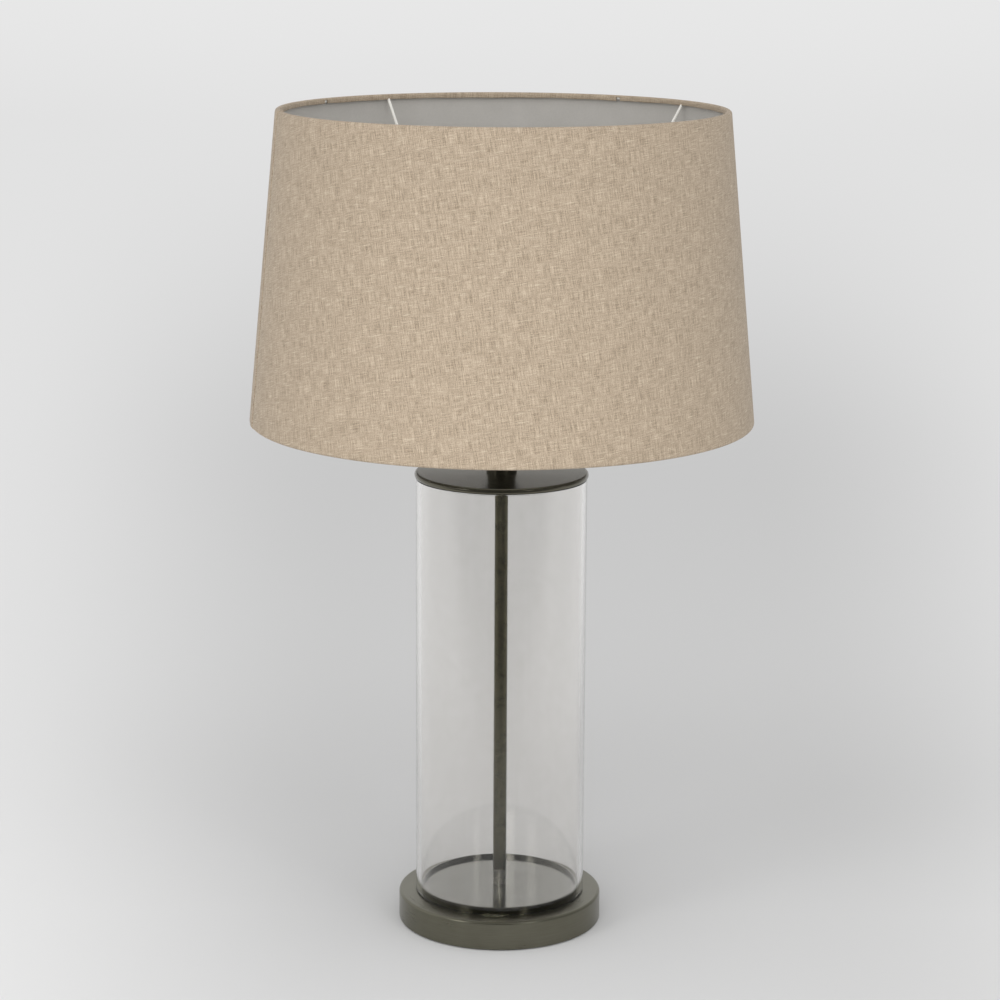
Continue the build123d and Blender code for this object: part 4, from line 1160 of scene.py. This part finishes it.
@dataclass
class Studio:
    """Pale floor that runs back to a pale backdrop, three softboxes and a fill, stronger from the front.

    The floor is lit paper near the lamp, and glows evenly beyond lit_reach. Light and shade are painted into
    its colour. painted_floor_tones gives its tone along the middle, by metres behind the lamp: painted shade
    darkens it near the lamp, with a painted shadow of the shade at 0.35 m, and painted light makes it paler
    far back;
    tone_step is the distance at half the ramp. Where painted_side_light, a painted paler light, is paler, it
    takes over to the sides of spread_middle, at a half width of spread[0] plus spread[1] for each metre back,
    and starts to at spread_core of that. grit is how many specks lie along a metre.

    Metal and glass see far_tint behind the lamp and front_tint in front, changing over front_edge, and only
    right_dim of it to the right, over right_edge; both are parts of a unit direction. What metal sees of the
    floor is a painted reflection: the floor in front turns to front_tint over paper_end, darker than the
    paper is. fill lights everything, from the front and from behind.
    """

    floor_radius: float = 30.0
    floor_drop: float = 0.3 * MM
    floor_facets: int = 96
    grit: float = 900.0
    grit_relief: float = 0.02 * MM
    # Painted light and shade: darker round the lamp, a painted shadow of the shade at 0.35 m, paler far back.
    painted_floor_tones: tuple[tuple[float, str], ...] = (
        (0.0, "#d1d1d1"), (0.35, "#c1c1c1"), (0.8, "#cccccc"), (1.8, "#c7c7c7"), (2.6, "#cacaca"),
        (3.9, "#d7d7d7"), (6.0, "#dedede"), (10.0, "#e3e3e3"), (20.0, "#e8e8e8"))
    tone_step: float = 3.0
    # Painted light: the floor grows paler out to the sides.
    painted_side_light: str = "#e2e2e2"
    spread: tuple[float, float] = (0.62, 0.17)
    spread_middle: float = 0.08
    spread_core: float = 0.33
    far_tint: str = "#e6e6e6"
    lit_reach: tuple[float, float] = (1.2, 3.2)
    fill: tuple[float, float] = (1.45, 0.5)
    front_tint: str = "#6f6f6c"
    front_edge: tuple[float, float] = (-1.0, 0.1)
    paper_end: tuple[float, float] = (-0.3, -1.0)
    right_edge: tuple[float, float] = (0.25, 0.95)
    right_dim: float = 0.4
    softboxes: tuple[Softbox, ...] = (
        Softbox("left_softbox", -50.0, 26.0, 1.9, 0.45, 1.1, 4.0),
        Softbox("right_softbox", 36.0, 26.0, 1.9, 0.3, 1.1, 2.8),
        Softbox("front_softbox", -6.0, 4.0, 1.7, 1.0, 0.5, 1.3, aim=0.4, grid=64.0, mirrored=False),
    )

    def seen_by(self, tree: Tree) -> Socket:
        """Tells rays that look straight, off metal or through glass from those that only carry light.

        Args:
            tree: The node tree.

        Returns:
            An output that is 1 for camera, glossy and transmission rays.
        """
        path = add_node(tree, "ShaderNodeLightPath").outputs
        first = calc(tree, "MAXIMUM", path["Is Camera Ray"], path["Is Glossy Ray"])
        return calc(tree, "MAXIMUM", first, path["Is Transmission Ray"])

    def floor_tone(self, tree: Tree, place: Socket) -> Socket:
        """Paints light and shade into the floor's colour: painted shade darker near the lamp, with a painted
        shadow of the shade just behind it, and painted light paler out to the sides and far back.

        Args:
            tree: The material's node tree.
            place: The floor's Object coordinates.

        Returns:
            The floor's colour, with its painted light and shade.
        """
        parts = add_node(tree, "ShaderNodeSeparateXYZ", {0: place}).outputs
        back = calc(tree, "MAXIMUM", parts[1], 0.0)
        share = calc(tree, "DIVIDE", back, calc(tree, "ADD", back, self.tone_step))
        ramp = add_node(tree, "ShaderNodeValToRGB", {0: share})
        ramp.color_ramp.interpolation = "B_SPLINE"
        stops = ramp.color_ramp.elements
        while len(stops) < len(self.painted_floor_tones):
            stops.new(0.5)
        for stop, (distance, tone) in zip(stops, self.painted_floor_tones):
            stop.position, stop.color = distance / (distance + self.tone_step), linear(tone)
        half = calc(tree, "MULTIPLY_ADD", back, self.spread[1], self.spread[0])
        side = calc(tree, "DIVIDE", calc(tree, "SUBTRACT", parts[0], self.spread_middle), half)
        fade = remap(tree, calc(tree, "ABSOLUTE", side), self.spread_core, smooth=True)
        return blend(tree, fade, ramp.outputs[0], linear(self.painted_side_light), blend_type="LIGHTEN")

    def floor_material(self) -> Material:
        """Builds the floor: lit paper near the lamp, with light and shade painted into its colour, which
        turns into an even pale backdrop far away.

        Returns:
            The material.
        """
        made = bpy.data.materials.new("studio_paper")
        tree = bare_tree(made)
        place = add_node(tree, "ShaderNodeTexCoord").outputs["Object"]
        # Painted light and shade in the floor's colour, for the paper and its far glow alike.
        tint = self.floor_tone(tree, place)
        reach = add_node(tree, "ShaderNodeVectorMath", {0: place}, operation="LENGTH").outputs["Value"]
        far = remap(tree, reach, *self.lit_reach, smooth=True)
        share = calc(tree, "MULTIPLY", far, self.seen_by(tree))
        grit = add_node(tree, "ShaderNodeTexNoise", {"Vector": place, "Scale": self.grit, "Detail": 2.0})
        relief = add_node(tree, "ShaderNodeBump", {
            "Distance": self.grit_relief, "Height": grit.outputs["Fac"]})
        paper = add_node(tree, "ShaderNodeBsdfDiffuse", {"Color": tint, "Normal": relief.outputs[0]})
        glow = add_node(tree, "ShaderNodeEmission", {"Color": tint})
        both = add_node(tree, "ShaderNodeMixShader", {0: share, 1: paper.outputs[0], 2: glow.outputs[0]})
        # Painted reflection: glossy rays see the floor in front of the lamp as front_tint, a darker glow than
        # the paper.
        depth = add_node(tree, "ShaderNodeSeparateXYZ", {0: place}).outputs[1]
        front = remap(tree, depth, *self.paper_end, smooth=True)
        mirrored = add_node(tree, "ShaderNodeLightPath").outputs["Is Glossy Ray"]
        dimmed_reflection = add_node(tree, "ShaderNodeEmission", {"Color": linear(self.front_tint)})
        shown = add_node(tree, "ShaderNodeMixShader", {
            0: calc(tree, "MULTIPLY", front, mirrored), 1: both.outputs[0], 2: dimmed_reflection.outputs[0]})
        add_node(tree, "ShaderNodeOutputMaterial", {"Surface": shown.outputs[0]})
        return made

    def lay_floor(self) -> None:
        """Lays the floor just under the felt."""
        builder = bmesh.new()
        bmesh.ops.create_circle(builder, cap_ends=True, radius=self.floor_radius, segments=self.floor_facets)
        for vert in builder.verts:
            vert.co.z = -self.floor_drop
        mesh = bpy.data.meshes.new("studio_floor")
        builder.to_mesh(mesh)
        builder.free()
        mesh.materials.append(self.floor_material())
        add_object("studio_floor", mesh)

    def light_world(self) -> None:
        """Sets the fill, and a pale surround for metal and glass, dimmer in front and at the right."""
        world = bpy.data.worlds.new("studio")
        bpy.context.scene.world = world
        tree = bare_tree(world)
        way = add_node(tree, "ShaderNodeTexCoord").outputs["Generated"]
        parts = add_node(tree, "ShaderNodeSeparateXYZ", {0: way}).outputs
        back = remap(tree, parts[1], *self.front_edge, smooth=True)
        tint = blend(tree, back, linear(self.front_tint), linear(self.far_tint))
        dim = remap(tree, parts[0], *self.right_edge, 1.0, self.right_dim, smooth=True)
        shown = add_node(tree, "ShaderNodeBackground", {"Color": tint, "Strength": dim})
        level = remap(tree, parts[1], -1.0, 1.0, *self.fill)
        filled = add_node(tree, "ShaderNodeBackground", {"Color": linear("#ffffff"), "Strength": level})
        both = add_node(tree, "ShaderNodeMixShader", {
            0: self.seen_by(tree), 1: filled.outputs[0], 2: shown.outputs[0]})
        add_node(tree, "ShaderNodeOutputWorld", {"Surface": both.outputs[0]})

    def build(self) -> None:
        """Lays the floor and sets the light."""
        self.lay_floor()
        self.light_world()
        for softbox in self.softboxes:
            softbox.hang()
        bpy.context.scene.view_settings.view_transform = "Standard"


@dataclass
class PhotoCamera:
    """The photograph's camera: in front, a little above the shade's top, looking slightly down.

    place is in metres, pitch and roll are in radians, lens and sensor in millimetres. image and middle, the
    point that the camera is aimed at, are in the photograph's pixels.
    """

    place: tuple[float, float, float] = (0.0, -2.43434, 0.93149)
    pitch: float = 0.1944
    roll: float = 0.0052
    lens: float = 99.74
    sensor: float = 36.0
    image: float = 1000.0
    middle: tuple[float, float] = (501.81, 434.85)

    def build(self) -> None:
        """Sets up the camera and makes it the scene's."""
        data = bpy.data.cameras.new("photo_camera")
        data.lens, data.sensor_width, data.sensor_fit = self.lens, self.sensor, "HORIZONTAL"
        data.shift_x = (self.image / 2.0 - self.middle[0]) / self.image
        data.shift_y = (self.middle[1] - self.image / 2.0) / self.image
        camera = bpy.data.objects.new("photo_camera", data)
        bpy.context.scene.collection.objects.link(camera)
        tip = Matrix.Rotation(math.pi / 2.0 - self.pitch, 4, "X")
        camera.matrix_world = Matrix.Translation(self.place) @ tip @ Matrix.Rotation(self.roll, 4, "Z")
        bpy.context.scene.camera = camera


class TableLamp:
    """The whole lamp, its sub-assemblies in the order that they are put together."""

    def __init__(self) -> None:
        """Lists the sub-assemblies."""
        self.wardrobe = Wardrobe()
        self.parts = (WeightedBase(), GlassColumn(), Lampholder(), LampBulb(), Wiring(), LinenShade())

    def build(self) -> None:
        """Builds and dresses each sub-assembly."""
        for part in self.parts:
            LOG.info("%s", type(part).__name__)
            part.build(self.wardrobe)


def clear_start_scene() -> None:
    """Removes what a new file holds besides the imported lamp."""
    for name in ("Camera", "Cube", "Light"):
        spare = bpy.data.objects.get(name)
        if spare is not None:
            bpy.data.objects.remove(spare)


def main() -> None:
    """Builds the scene."""
    logging.basicConfig(level=logging.INFO, format="%(name)s: %(message)s")
    clear_start_scene()
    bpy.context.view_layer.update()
    PhotoCamera().build()
    TableLamp().build()
    Studio().build()


if __name__ == "__main__":
    main()
